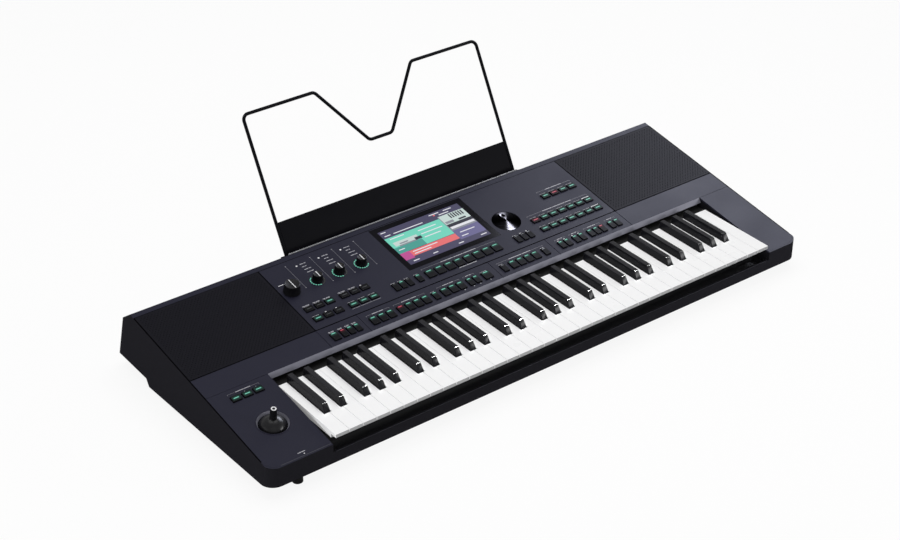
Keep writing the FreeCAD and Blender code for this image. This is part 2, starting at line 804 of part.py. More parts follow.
def loudspeakers():
    """Frame with basket and magnet, and the cone inside it, one of each under both grilles."""
    ring = rod("speaker_ring_form", (0, 0, "0 - speaker_ring"), "speaker_radius", "speaker_ring")
    bottom = "0 - speaker_ring - basket_depth"
    basket = frustum("basket_form", (0, 0, bottom), "basket_radius", "basket_top_radius", "basket_depth")
    magnet = rod("magnet_form", (0, 0, bottom + " - magnet_depth"), "basket_radius", "magnet_depth")
    inside = frustum("basket_inside", (0, 0, bottom), "basket_radius - basket_wall", "speaker_hole_radius",
                     "basket_depth")
    mouth = rod("speaker_mouth", (0, 0, "0 - speaker_ring"), "speaker_hole_radius", "overrun")
    frame = cut("speaker_frame_form", fuse("speaker_frame_solid", [ring, basket, magnet]),
                [fuse("speaker_hollow", [inside, mouth])])
    rim = "speaker_hole_radius - cone_gap"
    outer = frustum("cone_outer", (0, 0, "0 - cone_depth"), "cone_bottom_radius", rim, "cone_depth")
    inner = frustum("cone_inner", (0, 0, "cone_wall - cone_depth"), "cone_bottom_radius - cone_wall",
                    f"{rim} - cone_wall", "cone_depth")
    cone = cut("speaker_cone_form", outer, [inner])
    for name, form in (("speaker_frames", frame), ("speaker_cones", cone)):
        pair = []
        for side in ("-", "+"):
            pair.append(copy_at(form, (f"0 {side} speaker_x", "speaker_s", "0 - panel_thickness")))
        node(on_panel(group(name, pair)))


def display():
    glass = block("glass_form", ("0 - glass_width / 2", "glass_front", "0 - glass_thickness"),
                  ("glass_width", "glass_depth", "glass_thickness"))
    node(on_panel(group("display_glass", [glass])))
    screen = block("screen_form", ("0 - active_width / 2", "active_front", "0 - panel_thickness"),
                   ("active_width", "active_depth", "panel_thickness - glass_thickness - module_gap"))
    low = ("0 - active_width / 2 - module_margin", "active_front - module_margin",
           "0 - panel_thickness - module_thickness")
    size = ("active_width + 2 * module_margin", "active_depth + 2 * module_margin", "module_thickness")
    back = block("module_form", low, size)
    node(on_panel(fuse("lcd_module", [screen, back])))


def boards(switches):
    under = "0 - board_drop - board_thickness"
    board_depth = "panel_board_back - panel_board_front"
    slab = block("panel_board_slab", ("panel_board_margin - panel_width / 2", "panel_board_front", under),
                 ("panel_width - 2 * panel_board_margin", board_depth, "board_thickness"))
    notch = block("panel_board_notch",
                  ("0 - display_notch_width / 2", "display_notch_front", under + " - board_thickness"),
                  ("display_notch_width", board_depth, "3 * board_thickness"))
    x, s = cheek_board_place()
    cheek = block("cheek_board", (f"{x} - cheek_board_width / 2", f"{s} - cheek_board_depth / 2", under),
                  ("cheek_board_width", "cheek_board_depth", "board_thickness"))
    node(on_panel(group("panel_board", [cut("panel_board_form", slab, [notch]), cheek] + switches)))
    main = block("main_board_slab", ("0 - main_board_width / 2", "main_board_front", "main_board_height"),
                 ("main_board_width", "main_board_depth", "board_thickness"))
    parts = [main]
    top = "main_board_height + board_thickness"
    for across, along in CHIP_SHARES:
        x = f"({across} - {MIDDLE_SHARE}) * main_board_width"
        low = (x, f"main_board_front + {along} * main_board_depth", top)
        parts.append(block("chip", low, ("chip_side", "chip_side", "chip_height")))
    low = ("0 - sink_width / 2", "main_board_front + main_board_depth - sink_depth", top)
    parts.append(block("heat_sink", low, ("sink_width", "sink_depth", "sink_height")))
    node(in_case(fuse("main_board", parts)))


def knob(name, shares, radius, top_radius, height, bottom="knob_gap", marks=()):
    body = frustum(name + "_body", (0, 0, bottom), radius, top_radius, height)
    bore = rod(name + "_bore", (0, 0, f"{bottom} - knob_gap"), "shaft_radius + shaft_fit",
               f"knob_gap + {height} - knob_skin")
    x, s = panel_place(shares)
    node(on_panel(cut(name, body, [bore] + list(marks)), (x, s, 0)))


def control_pot(shares, body_top, shaft_top):
    body = rod("pot_body", (0, 0, "0 - board_drop"), "pot_radius", f"board_drop + {body_top}")
    shaft = rod("pot_shaft", (0, 0, body_top), "shaft_radius", f"{shaft_top} - ({body_top})")
    x, s = panel_place(shares)
    return place(fuse("pot", [body, shaft]), (x, s, 0))


def rotary_controls():
    knob("volume_knob", VOLUME_SHARES, "volume_radius", "volume_top_radius", "volume_height")
    for index, shares in enumerate(ASSIGN_SHARES, 1):
        knob(f"assign_knob_{index}", shares, "assign_radius", "assign_top_radius", "assign_height")
    dish_ball = "(dial_dish_radius ^ 2 + dial_dish_depth ^ 2) / (2 * dial_dish_depth)"
    dish = ball("dial_dish", (0, 0, f"dial_rise - dial_dish_depth + {dish_ball}"), dish_ball)
    dimple_z = "dial_rise - dimple_depth + dimple_sphere_radius - dial_dish_depth / 2"
    dimple = ball("dial_dimple", (0, "dimple_offset", dimple_z), "dimple_sphere_radius")
    hollow = fuse("dial_hollow", [dish, dimple])
    knob("data_dial", DIAL_SHARES, "dial_radius", "dial_top_radius", "dial_height", "dial_bottom", [hollow])
    pots = [control_pot(VOLUME_SHARES, "0 - panel_thickness", "volume_height - knob_skin")]
    for shares in ASSIGN_SHARES:
        pots.append(control_pot(shares, "0 - panel_thickness", "assign_height - knob_skin"))
    pots.append(control_pot(DIAL_SHARES, "dial_bottom - knob_gap", "dial_rise - knob_skin - knob_gap"))
    node(on_panel(group("control_pots", pots)))
    rings = []
    outer = rod("ring_outer", (0, 0, "0 - ring_thickness"), "ring_outer_radius", "ring_thickness")
    inner = rod("ring_inner", (0, 0, "0 - 2 * ring_thickness"), "ring_inner_radius", "4 * ring_thickness")
    ring = cut("ring_form", outer, [inner])
    for shares in ASSIGN_SHARES:
        x, s = panel_place(shares)
        rings.append(copy_at(ring, (x, s, 0)))
    node(on_panel(group("led_rings", rings)))


def joystick():
    """Can-shaped bezel with two posts, a gimbal ring on trunnions and a domed stick on cross pins."""
    x, s = joystick_place()
    can = rod("can_outer", (0, 0, "0 - can_depth"), "joystick_radius", "can_depth + joystick_lip")
    bowl = frustum("can_bowl", (0, 0, "0 - bowl_depth"), "bowl_radius", "bowl_top_radius",
                   "bowl_depth + joystick_lip")
    throat = rod("can_throat", (0, 0, "bowl_bottom - joystick_lip"), "bowl_radius",
                 "bowl_floor + 2 * joystick_lip")
    cavity = rod("can_cavity", (0, 0, "can_base - can_depth"), "can_cavity_radius",
                 "can_depth - can_base + bowl_bottom")
    shell = cut("can_shell", can, [fuse("can_hollow", [bowl, throat, cavity])])
    posts = []
    for side in ("0 - post_inner - post_thickness", "post_inner"):
        low = ("0 - post_width / 2", side, "can_base / 2 - can_depth")
        rise = "can_depth - can_base / 2 - pivot_depth + post_over"
        posts.append(block("gimbal_post", low, ("post_width", "post_thickness", rise)))
    bore = depth_rod("post_bore", "pin_radius + pin_fit", "2 * post_inner")
    bezel = cut("joystick_bezel", fuse("can_with_posts", [shell] + posts), [bore])
    node(on_panel(bezel, (x, s, 0)))

    middle = "0 - pivot_depth"
    ring = rod("gimbal_outer", (0, 0, f"{middle} - gimbal_height / 2"), "gimbal_outer_radius", "gimbal_height")
    hole = rod("gimbal_hole", (0, 0, f"{middle} - gimbal_height"), "gimbal_inner_radius", "2 * gimbal_height")
    trunnions = depth_rod("gimbal_trunnions", "pin_radius", "post_inner + post_thickness")
    cross_bore = rod("gimbal_bore", ("0 - 2 * gimbal_outer_radius", 0, middle), "pin_radius + pin_fit",
                     "4 * gimbal_outer_radius", DEPTHWISE)
    body = cut("gimbal_body", fuse("gimbal_solid", [ring, trunnions]), [hole])
    node(on_panel(cut("joystick_gimbal", body, [cross_bore]), (x, s, 0)))

    dome = cut("stick_dome", ball("dome_outer", (0, 0, middle), "dome_sphere_radius"),
               [ball("dome_inner", (0, 0, middle), "dome_sphere_radius - dome_wall")])
    keep = rod("dome_keep", (0, 0, f"dome_skirt + {middle}"), "2 * dome_sphere_radius",
               "2 * dome_sphere_radius")
    cap = common("stick_cap", [dome, keep])
    stem_bottom = "dome_sphere_radius - pivot_depth - dome_wall"
    stem = frustum("stick_stem", (0, 0, stem_bottom), "stick_radius", "stick_top_radius",
                   f"stick_height - ({stem_bottom})")
    core = rod("stick_core", (0, 0, f"{middle} - stick_core_drop"), "stick_core_radius",
               "stick_core_drop + dome_sphere_radius - dome_wall / 2")
    pins = rod("stick_pins", ("0 - gimbal_outer_radius + pin_fit", 0, middle), "pin_radius",
               "2 * (gimbal_outer_radius - pin_fit)", DEPTHWISE)
    node(on_panel(fuse("joystick_stick", [cap, stem, core, pins]), (x, s, 0)))


def depth_rod(name, radius, half):
    """A cylinder along the depth whose middle is the joystick's pivot."""
    return rod(name, (0, half, "0 - pivot_depth"), radius, f"2 * ({half})", ACROSS)


def white_edges(index, has_blacks):
    """Left and right edge of a white key's narrow rear part, measured from the octave's left."""
    left = f"{index} * key_pitch + key_gap / 2"
    right = f"{index + 1} * key_pitch - key_gap / 2"
    half = "black_width / 2 + black_gap"
    rear_left, rear_right = left, right
    if has_blacks:
        for (before, after), share in zip(WHITES_BESIDE_BLACK, BLACK_CENTRE_SHARES):
            if before == index:
                rear_right = f"{share} * key_pitch - ({half})"
            if after == index:
                rear_left = f"{share} * key_pitch + ({half})"
    return left, right, rear_left, rear_right


def white_key(name, index, has_blacks):
    left, right, rear_left, rear_right = white_edges(index, has_blacks)
    shoulder = "black_front - black_gap"
    lip_back = "key_front + lip_depth"
    lip = block(name + "_lip", (left, "key_front", "key_top - lip_height"),
                (f"({right}) - ({left})", "lip_depth", "lip_height"))
    head = block(name + "_head", (left, lip_back, "key_under"),
                 (f"({right}) - ({left})", f"{shoulder} - ({lip_back})", "key_height"))
    neck = block(name + "_neck", (rear_left, shoulder, "key_under"),
                 (f"({rear_right}) - ({rear_left})", f"head_rear - ({shoulder})", "key_height"))
    tail = key_tail(name, f"({rear_left} + {rear_right}) / 2", "white_tail_width", "head_rear")
    under = "key_under - key_wall"
    front_hollow = block(name + "_hollow", (f"{left} + key_wall", f"{lip_back} + key_wall", under),
                         (f"({right}) - ({left}) - 2 * key_wall",
                          f"{shoulder} - ({lip_back}) - 2 * key_wall", "key_height"))
    rear_hollow = block(name + "_rear_hollow",
                        (f"{rear_left} + key_wall", f"{shoulder} - 2 * key_wall", under),
                        (f"({rear_right}) - ({rear_left}) - 2 * key_wall",
                         f"head_rear - ({shoulder}) + key_wall", "key_height"))
    hollow = fuse(name + "_hollows", [front_hollow, rear_hollow])
    return hinged(name, fuse(name + "_solid", [lip, head, neck, tail]), left, right, [hollow])


def key_tail(name, middle, width, front):
    """The arm that runs from a key's rear end back to the hinge rod."""
    low = (f"{middle} - {width} / 2", f"{front} - key_wall", "hinge_height - tail_half_height")
    run = f"hinge_back + tail_reach - {front} + key_wall"
    return block(name + "_tail", low, (width, run, "2 * tail_half_height"))


def hinged(name, solid, left, right, hollows):
    low = (f"{left} - key_pitch", "hinge_back", "hinge_height")
    length = f"({right}) - ({left}) + 2 * key_pitch"
    bore = rod(name + "_bore", low, "rod_radius + rod_fit", length, DEPTHWISE)
    return cut(name, solid, hollows + [bore])


def black_key(name, share):
    middle = f"{share} * key_pitch"
    cap = make("Wedge", name + "_cap", {
        "Xmin": "0 - black_width / 2", "Xmax": "black_width / 2",
        "X2min": "0 - black_top_width / 2", "X2max": "black_top_width / 2",
        "Ymin": "0 * black_rise", "Ymax": "black_rise", "Zmin": "0 - black_rear", "Zmax": "0 - black_front",
        "Z2min": "0 - black_rear", "Z2max": "0 - black_front - black_set_back"})
    place(cap, (middle, 0, "key_top"), ACROSS, QUARTER_TURN)
    skirt = block(name + "_skirt", (f"{middle} - black_width / 2", "black_front", "key_top - black_skirt"),
                  ("black_width", "black_rear - black_front", "black_skirt"))
    tail = key_tail(name, middle, "black_tail_width", "black_rear")
    hollow_front = "black_front + black_set_back + key_wall"
    hollow_left = f"{middle} - black_top_width / 2 + key_wall"
    hollow = block(name + "_hollow", (hollow_left, hollow_front, "key_top - black_skirt - key_wall"),
                   ("black_top_width - 2 * key_wall", f"black_rear - key_wall - ({hollow_front})",
                    "black_skirt + black_rise"))
    return hinged(name, fuse(name + "_solid", [cap, skirt, tail]), f"{middle} - key_pitch / 2",
                  f"{middle} + key_pitch / 2", [hollow])


def keys():
    whites = [white_key(f"white_{index}", index, True) for index in range(7)]
    blacks = [black_key(f"black_{index}", share) for index, share in enumerate(BLACK_CENTRE_SHARES)]
    for octave in range(OCTAVES):
        left = f"key_x + {octave} * 7 * key_pitch"
        for name, forms in (("white_keys", whites), ("black_keys", blacks)):
            node(place(group(f"{name}_{octave + 1}", forms), (left, "0 - middle_y", 0)))
    top = white_key("top_key_form", 0, False)
    node(place(group("top_white_key", [top]), (f"key_x + {OCTAVES} * 7 * key_pitch", "0 - middle_y", 0)))


def key_bed():
    depth = "hinge_back + bed_reach - bed_front"
    plate_form = block("bed_plate", ("key_x - bed_side", "bed_front", "bed_bottom"),
                       ("keys_width + 2 * bed_side", depth, "bed_thickness"))
    stop = block("bed_stop", ("key_x", "stop_front", "bed_bottom"),
                 ("keys_width", "stop_depth", "bed_thickness + stop_height"))
    pieces = [plate_form, stop]
    for edge in [octave * 7 for octave in range(OCTAVES + 1)] + [WHITE_COUNT]:
        x = f"key_x + {edge} * key_pitch - ear_thickness / 2"
        size = ("ear_thickness", "ear_depth", "hinge_height + ear_over - bed_bottom")
        pieces.append(block("rod_ear", (x, "hinge_back - ear_depth / 2", "bed_bottom"), size))
    holes = [rod("ear_bore", ("key_x - key_pitch", "hinge_back", "hinge_height"), "rod_radius + rod_fit",
                 "keys_width + 2 * key_pitch", DEPTHWISE)]
    for x, y in screw_places():
        holes.append(rod("bed_hole", (x, y, "bed_bottom - bed_thickness"), "screw_radius + screw_fit",
                         "3 * bed_thickness"))
    node(in_case(cut("key_bed", fuse("key_bed_solid", pieces), holes)))
    pin = rod("rod_form", ("key_x - bed_side", "hinge_back", "hinge_height"), "rod_radius",
              "keys_width + 2 * bed_side", DEPTHWISE)
    node(in_case(group("key_hinge_rod", [pin])))
    board = block("contact_board_form", ("key_x", "contact_board_front", "bed_top"),
                  ("keys_width", "contact_board_depth", "board_thickness"))
    node(in_case(group("key_contact_board", [board])))


def rubber_contacts():
    dome = frustum("dome_form", (0, 0, 0), "dome_radius", "dome_top_radius", "dome_height")
    domes = []
    middle = "contact_board_front + contact_board_depth / 2"
    row = "contact_board_depth / 2 - dome_radius"
    for octave in range(OCTAVES):
        left = f"key_x + {octave} * 7 * key_pitch"
        for index in range(7):
            edges = white_edges(index, True)
            x = f"{left} + ({edges[2]} + {edges[3]}) / 2"
            domes.append(copy_at(dome, (x, f"{middle} - ({row})", "bed_top + board_thickness")))
        for share in BLACK_CENTRE_SHARES:
            domes.append(copy_at(dome, (f"{left} + {share} * key_pitch", f"{middle} + ({row})",
                                        "bed_top + board_thickness")))
    domes.append(copy_at(dome, (f"key_x + {OCTAVES * 7 + 0.5} * key_pitch", f"{middle} - ({row})",
                                "bed_top + board_thickness")))
    node(in_case(group("rubber_contacts", domes)))


def felts():
    stop = block("stop_felt", ("key_x", "stop_front", "bed_top + stop_height"),
                 ("keys_width", "stop_depth", "felt_thickness"))
    flat = block("dust_flat", ("well_x + seam_gap", "dust_front", "dust_height"),
                 ("well_width - 2 * seam_gap", "dust_back - dust_front", "dust_thickness"))
    under_deck = ("front_top + (dust_back - dust_thickness) * tan(slope_angle)"
                  " - panel_thickness / cos(slope_angle)")
    upright = block("dust_upright", ("well_x + seam_gap", "dust_back - dust_thickness", "dust_height"),
                    ("well_width - 2 * seam_gap", "dust_thickness", f"{under_deck} - dust_height"))
    node(in_case(group("stop_felts", [stop, fuse("dust_felt", [flat, upright])])))


def rear_wall_pieces():
    body = rod("jack_body", (0, 0, "0 - jack_depth"), "jack_radius", "jack_depth")
    flange = rod("jack_flange_form", (0, 0, 0), "jack_flange_radius", "jack_flange")
    bore = rod("jack_bore", (0, 0, "0 - jack_bore_depth"), "jack_bore_radius", "jack_bore_depth + overrun")
    jack = cut("jack_form", fuse("jack_solid", [body, flange]), [bore])
    jacks = [copy_at(jack, (rear_x(share), 0, 0)) for share in JACK_SHARES]
    node(on_rear_wall(group("jack_sockets", jacks), 0))

    core = centred_block("inlet_body", "inlet_width", "inlet_height", "0 - inlet_depth", "inlet_depth")
    brim = centred_block("inlet_brim", "inlet_width + 2 * inlet_margin", "inlet_height + 2 * inlet_margin",
                         0, "jack_flange")
    barrel = rod("inlet_bore", (0, 0, "0 - inlet_bore_depth"), "inlet_bore_radius",
                 "inlet_bore_depth + overrun")
    inlet = cut("power_inlet", fuse("inlet_solid", [core, brim]), [barrel])
    node(on_rear_wall(inlet, rear_x(INLET_SHARE)))

    inner = "0 - wall - power_clearance"
    cap = rod("power_cap", (0, 0, inner), "power_radius", f"power_rise - ({inner})")
    collar = rod("power_collar", (0, 0, inner + " - power_flange"), "power_flange_radius", "power_flange")
    node(on_rear_wall(fuse("power_button", [cap, collar]), rear_x(POWER_SHARE)))


def stand_wire():
    """Bent wire: two legs, a top bar on each side and a wide notch between them."""
    half = number("stand_half_width")
    top = number("stand_height")
    route = [(-half, -number("stand_leg")), (-half, top), (-number("notch_top_half"), top),
             (-number("notch_bottom_half"), number("notch_bottom"))]
    route += [(-x, t) for x, t in reversed(route)]
    points = [FreeCAD.Vector(x, 0, t) for x, t in route]
    edges = []
    start = points[0]
    for before, corner, after in zip(points, points[1:], points[2:]):
        inward = (before - corner).normalize()
        outward = (after - corner).normalize()
        half_turn = (FreeCAD.Vector(0, 0, 0) - inward).getAngle(outward) / 2
        reach = number("bend_radius") * math.tan(half_turn)
        enter = corner + inward * reach
        leave = corner + outward * reach
        middle = (inward + outward).normalize()
        depth = number("bend_radius") * (1 / math.cos(half_turn) - 1)
        edges.append(Part.LineSegment(start, enter).toShape())
        edges.append(Part.Arc(enter, corner + middle * depth, leave).toShape())
        start = leave
    edges.append(Part.LineSegment(start, points[-1]).toShape())
    path = Part.Wire(edges)
    section = Part.Wire([Part.makeCircle(number("wire_radius"), points[0], FreeCAD.Vector(0, 0, 1))])
    return path.makePipeShell([section], True, True)


def holder_block(name, rise):
    """The bar across the rear bevel that the stand drops into, from its underside to a height above it."""
    length = "stand_half_width + holder_reach"
    return block(name, (f"0 - ({length})", "0 - holder_front", "0 - holder_drop"),
                 (f"2 * ({length})", "holder_front + holder_back", f"holder_drop + {rise}"))


def music_stand():
    frame = doc.addObject("Part::Feature", "stand_frame")
    frame.Shape = stand_wire()
    node(on_stand(frame))
    inside = "stand_half_width - wire_radius - plate_gap"
    sheet_form = block("plate_form", (f"0 - ({inside})", "0 - plate_thickness / 2", "plate_seat_gap"),
                       (f"2 * ({inside})", "plate_thickness", "plate_height"))
    shelf = block("shelf_form", (f"0 - ({inside})", "0 - shelf_depth", "plate_seat_gap"),
                  (f"2 * ({inside})", "shelf_depth", "plate_thickness"))
    node(on_stand(fuse("stand_plate", [sheet_form, shelf])))

    seated = on_stand(group("holder_rail_seat", [holder_block("holder_rail", "0")]), "0")
    sockets = []
    bores = []
    for side in ("-", "+"):
        x = f"0 {side} stand_half_width"
        tube = rod("socket_tube", (x, 0, "0 - socket_depth"), "socket_radius", "socket_depth")
        bore = rod("socket_bore", (x, 0, "socket_floor - socket_depth"), "wire_radius + socket_fit",
                   "socket_depth + overrun")
        sockets.append(on_stand(group("socket_seat", [tube]), "0"))
        bores.append(on_stand(group("socket_bore_seat", [bore]), "0"))
    node(in_case(cut("stand_holder", fuse("holder_solid", [seated] + sockets), bores)))


def underside(y):
    return f"front_bottom - ({y}) * bottom_slope"


def feet_and_screws():
    feet = []
    for name, side, back in (("front_foot", "-", "front_foot_back"), ("front_foot", "+", "right_foot_back"),
                             ("rear_foot", "-", "rear_foot_back"), ("rear_foot", "+", "rear_foot_back")):
        x = f"0 {side} (case_width / 2 - {name}_inset)"
        feet.append(rod(name, (x, back, 0), name + "_radius", underside(f"{back} + {name}_radius")))
    node(in_case(group("rubber_feet", feet)))
    screws = []
    for x, y in screw_places():
        seat = underside(f"{y} + screw_head_radius")
        head = rod("screw_head_form", (x, y, f"{seat} - screw_head"), "screw_head_radius", "screw_head")
        shank = rod("screw_shank", (x, y, f"{seat} - screw_head / 2"), "screw_radius",
                    f"bed_top - ({seat}) + screw_head / 2")
        screws.append(fuse("screw", [head, shank]))
    node(in_case(group("case_screws", screws)))


def check_and_write():
    doc.recompute()
    for thing in doc.Objects:
        if "Invalid" in thing.State or "Error" in thing.State:
            raise RuntimeError(f"{thing.Name} failed: {thing.State}")
    for thing in nodes:
        if thing.Shape.isNull() or not thing.Shape.isValid() or not thing.Shape.Solids:
            raise RuntimeError(f"{thing.Label} has no valid solid")
    os.makedirs("parts", exist_ok=True)
    for thing in nodes:
        thing.Shape.exportStep(f"parts/{thing.Label}.step")
        print(thing.Label, len(thing.Shape.Solids), round(thing.Shape.Volume))


def main():
    form = whole_case()
    pocket_plan = plan("pocket_plan", "rim")
    plate_plan = plan("plate_plan", "rim + seam_gap / 2")
    bottom_case(form, pocket_plan)
    tools, switches = buttons()
    cheeks(plate_plan, tools)
    top_deck(plate_plan, tools)
    control_panel(plate_plan, tools)
    grilles(plate_plan)
    loudspeakers()
    display()
    boards(switches)
    rotary_controls()
    joystick()
    keys()
    key_bed()
    rubber_contacts()
    felts()
    rear_wall_pieces()
    music_stand()
    feet_and_screws()
    check_and_write()


main()
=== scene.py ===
import bmesh
import bpy
import json
import math
from mathutils import Matrix, Vector
from mathutils.geometry import delaunay_2d_cdt

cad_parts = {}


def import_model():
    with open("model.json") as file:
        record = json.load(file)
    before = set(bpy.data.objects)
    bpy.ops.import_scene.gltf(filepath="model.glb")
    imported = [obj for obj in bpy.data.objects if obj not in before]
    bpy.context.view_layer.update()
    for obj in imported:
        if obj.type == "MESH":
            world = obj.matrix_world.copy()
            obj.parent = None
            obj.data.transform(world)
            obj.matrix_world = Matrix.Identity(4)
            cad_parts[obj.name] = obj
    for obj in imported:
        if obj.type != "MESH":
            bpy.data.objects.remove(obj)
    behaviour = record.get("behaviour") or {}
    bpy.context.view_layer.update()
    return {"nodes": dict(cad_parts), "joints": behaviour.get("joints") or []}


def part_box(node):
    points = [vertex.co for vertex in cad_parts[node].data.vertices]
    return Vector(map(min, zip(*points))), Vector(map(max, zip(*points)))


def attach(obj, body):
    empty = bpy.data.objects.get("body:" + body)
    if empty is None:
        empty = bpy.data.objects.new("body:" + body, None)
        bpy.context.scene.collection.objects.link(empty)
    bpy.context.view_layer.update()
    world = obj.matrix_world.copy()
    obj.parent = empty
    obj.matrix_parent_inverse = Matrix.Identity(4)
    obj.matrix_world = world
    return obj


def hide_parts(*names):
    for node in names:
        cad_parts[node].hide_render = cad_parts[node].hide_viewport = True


# Looks of the arranger keyboard. Metres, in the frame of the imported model: X along the keys to the right,
# Y from the player to the back, Z up from the floor.

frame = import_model()
NODES = frame["nodes"]
JOINTS = {joint["name"]: joint for joint in frame["joints"]}
MM = 0.001

# The sloping top: the volume knob's joint lies on its surface and turns about its normal.
NORMAL = Vector(JOINTS["volume_turn"]["axis"]).normalized()
ACROSS = Vector((1, 0, 0))
UPHILL = NORMAL.cross(ACROSS)
SURFACE = Vector(JOINTS["volume_turn"]["pos_m"])
SURFACE.x = 0
TURN = Matrix((ACROSS, UPHILL, NORMAL)).transposed().to_4x4()
PANEL = Matrix.Translation(SURFACE) @ TURN
INTO_PANEL = PANEL.inverted()

WELD = 0.01 * MM
PRINT_HEIGHT = 0.05 * MM
PRINT_SINK = 0.1 * MM
ROW_STEP = 0.4 * MM
SMOOTH_UP_TO = math.radians(35)


# Shader helpers

FINE_DETAIL = 2.0
SOFT_DETAIL = 3.0
GLOSS_SPAN = (0.3, 0.7)
SPECKLE_SPAN = (0.35, 0.65)
LIT_SPECULAR = 0.05


def main_shader(material):
    return material.node_tree.nodes["Principled BSDF"]


def set_inputs(node, values):
    for socket, value in values.items():
        node.inputs[socket].default_value = value


def shader_of(name, colour, roughness, specular=0.5, metallic=0.0):
    material = bpy.data.materials.new(name)
    material.use_nodes = True
    set_inputs(main_shader(material), {"Base Color": (*colour, 1), "Roughness": roughness,
                                       "Specular IOR Level": specular, "Metallic": metallic})
    return material


def noise_of(material, size, detail):
    tree = material.node_tree
    place = tree.nodes.new("ShaderNodeTexCoord")
    noise = tree.nodes.new("ShaderNodeTexNoise")
    set_inputs(noise, {"Scale": 1 / size, "Detail": detail})
    tree.links.new(place.outputs["Object"], noise.inputs["Vector"])
    return noise


def grain(material, size, depth):
    """Fine bumps of one size all over the surface."""
    tree = material.node_tree
    noise = noise_of(material, size, FINE_DETAIL)
    bump = tree.nodes.new("ShaderNodeBump")
    set_inputs(bump, {"Distance": depth})
    tree.links.new(noise.outputs["Fac"], bump.inputs["Height"])
    tree.links.new(bump.outputs["Normal"], main_shader(material).inputs["Normal"])
    return material


def uneven_gloss(material, size, low, high):
    """Roughness that wanders in soft patches."""
    tree = material.node_tree
    noise = noise_of(material, size, SOFT_DETAIL)
    spread = tree.nodes.new("ShaderNodeMapRange")
    set_inputs(spread, {"From Min": GLOSS_SPAN[0], "From Max": GLOSS_SPAN[1], "To Min": low, "To Max": high})
    tree.links.new(noise.outputs["Fac"], spread.inputs["Value"])
    tree.links.new(spread.outputs["Result"], main_shader(material).inputs["Roughness"])
    return material


def speckle(material, size, dark, light):
    """Colour that wanders between two tones in spots of one size."""
    tree = material.node_tree
    noise = noise_of(material, size, SOFT_DETAIL)
    ramp = tree.nodes.new("ShaderNodeValToRGB")
    for stop, position, tone in zip(ramp.color_ramp.elements, SPECKLE_SPAN, (dark, light)):
        stop.position = position
        stop.color = (*tone, 1)
    tree.links.new(noise.outputs["Fac"], ramp.inputs["Fac"])
    tree.links.new(ramp.outputs["Color"], main_shader(material).inputs["Base Color"])
    return material


def lit(name, base, glow, roughness):
    """A surface that shines in its own colour."""
    material = shader_of(name, base, roughness, LIT_SPECULAR)
    set_inputs(main_shader(material), {"Emission Color": (*glow, 1), "Emission Strength": 1})
    return material


# Materials

def case_plastic():
    material = shader_of("case_plastic", (0.0135, 0.0132, 0.016), roughness=0.5, specular=0.0)
    speckle(material, size=1.2 * MM, dark=(0.012, 0.0117, 0.0145), light=(0.015, 0.0147, 0.0175))
    uneven_gloss(material, size=60 * MM, low=0.46, high=0.56)
    return grain(material, size=0.45 * MM, depth=0.03 * MM)


def panel_paint():
    material = shader_of("panel_paint", (0.0165, 0.0165, 0.0285), roughness=0.42, specular=0.04)
    speckle(material, size=0.9 * MM, dark=(0.015, 0.015, 0.0265), light=(0.018, 0.018, 0.0305))
    uneven_gloss(material, size=80 * MM, low=0.38, high=0.46)
    return grain(material, size=0.35 * MM, depth=0.015 * MM)


# Painted sheen: a lighter paint for the deck's front bevel and the wall of the joystick's bowl, standing in
# for the light they catch.
def painted_sheen():
    material = shader_of("painted_sheen", (0.195, 0.196, 0.235), roughness=0.4, specular=0.05)
    speckle(material, size=0.9 * MM, dark=(0.187, 0.188, 0.225), light=(0.203, 0.204, 0.245))
    return uneven_gloss(material, size=80 * MM, low=0.36, high=0.44)


# Painted highlight: a lighter grey for thin strips along edges, standing in for the light they catch.
def painted_edge_highlight():
    material = shader_of("painted_edge_highlight", (0.055, 0.055, 0.066), roughness=0.4, specular=0.06)
    return uneven_gloss(material, size=80 * MM, low=0.36, high=0.44)


def grille_metal():
    material = shader_of("grille_metal", (0.008, 0.0078, 0.011), roughness=0.45, specular=0.02)
    speckle(material, size=2 * MM, dark=(0.0072, 0.007, 0.01), light=(0.0088, 0.0086, 0.012))
    return grain(material, size=0.5 * MM, depth=0.02 * MM)


def speaker_cloth():
    material = shader_of("speaker_cloth", (0.008, 0.008, 0.0105), roughness=0.5, specular=0.02)
    return grain(material, size=0.3 * MM, depth=0.05 * MM)


# Painted shade: near black for the lines where the plates of the top meet, standing in for the shade in their
# gaps.
def painted_seam_shade():
    material = shader_of("painted_seam_shade", (0.001, 0.001, 0.0012), roughness=0.9, specular=0.0)
    return uneven_gloss(material, size=20 * MM, low=0.85, high=0.95)


# The white keys glow a little of themselves: painted light that softens the shade on them.
WHITE_KEY_PAINTED_GLOW = 0.16


def white_key_plastic():
    material = shader_of("white_key_plastic", (0.8, 0.8, 0.805), roughness=0.28, specular=0.2)
    speckle(material, size=30 * MM, dark=(0.803, 0.803, 0.808), light=(0.811, 0.811, 0.816))
    set_inputs(main_shader(material), {"Emission Color": (1, 1, 1, 1), "Emission Strength": WHITE_KEY_PAINTED_GLOW})
    return uneven_gloss(material, size=40 * MM, low=0.27, high=0.3)


def black_key_plastic():
    material = shader_of("black_key_plastic", (0.009, 0.009, 0.011), roughness=0.17, specular=0.08)
    speckle(material, size=1.5 * MM, dark=(0.007, 0.007, 0.0088), light=(0.011, 0.011, 0.0132))
    uneven_gloss(material, size=30 * MM, low=0.15, high=0.2)
    return grain(material, size=0.5 * MM, depth=0.01 * MM)


# Painted shade: a greyer white for the fronts of the white keys.
def key_front_painted_shade():
    material = shader_of("key_front_painted_shade", (0.5, 0.5, 0.51), roughness=0.28, specular=0.2)
    return uneven_gloss(material, size=40 * MM, low=0.27, high=0.3)


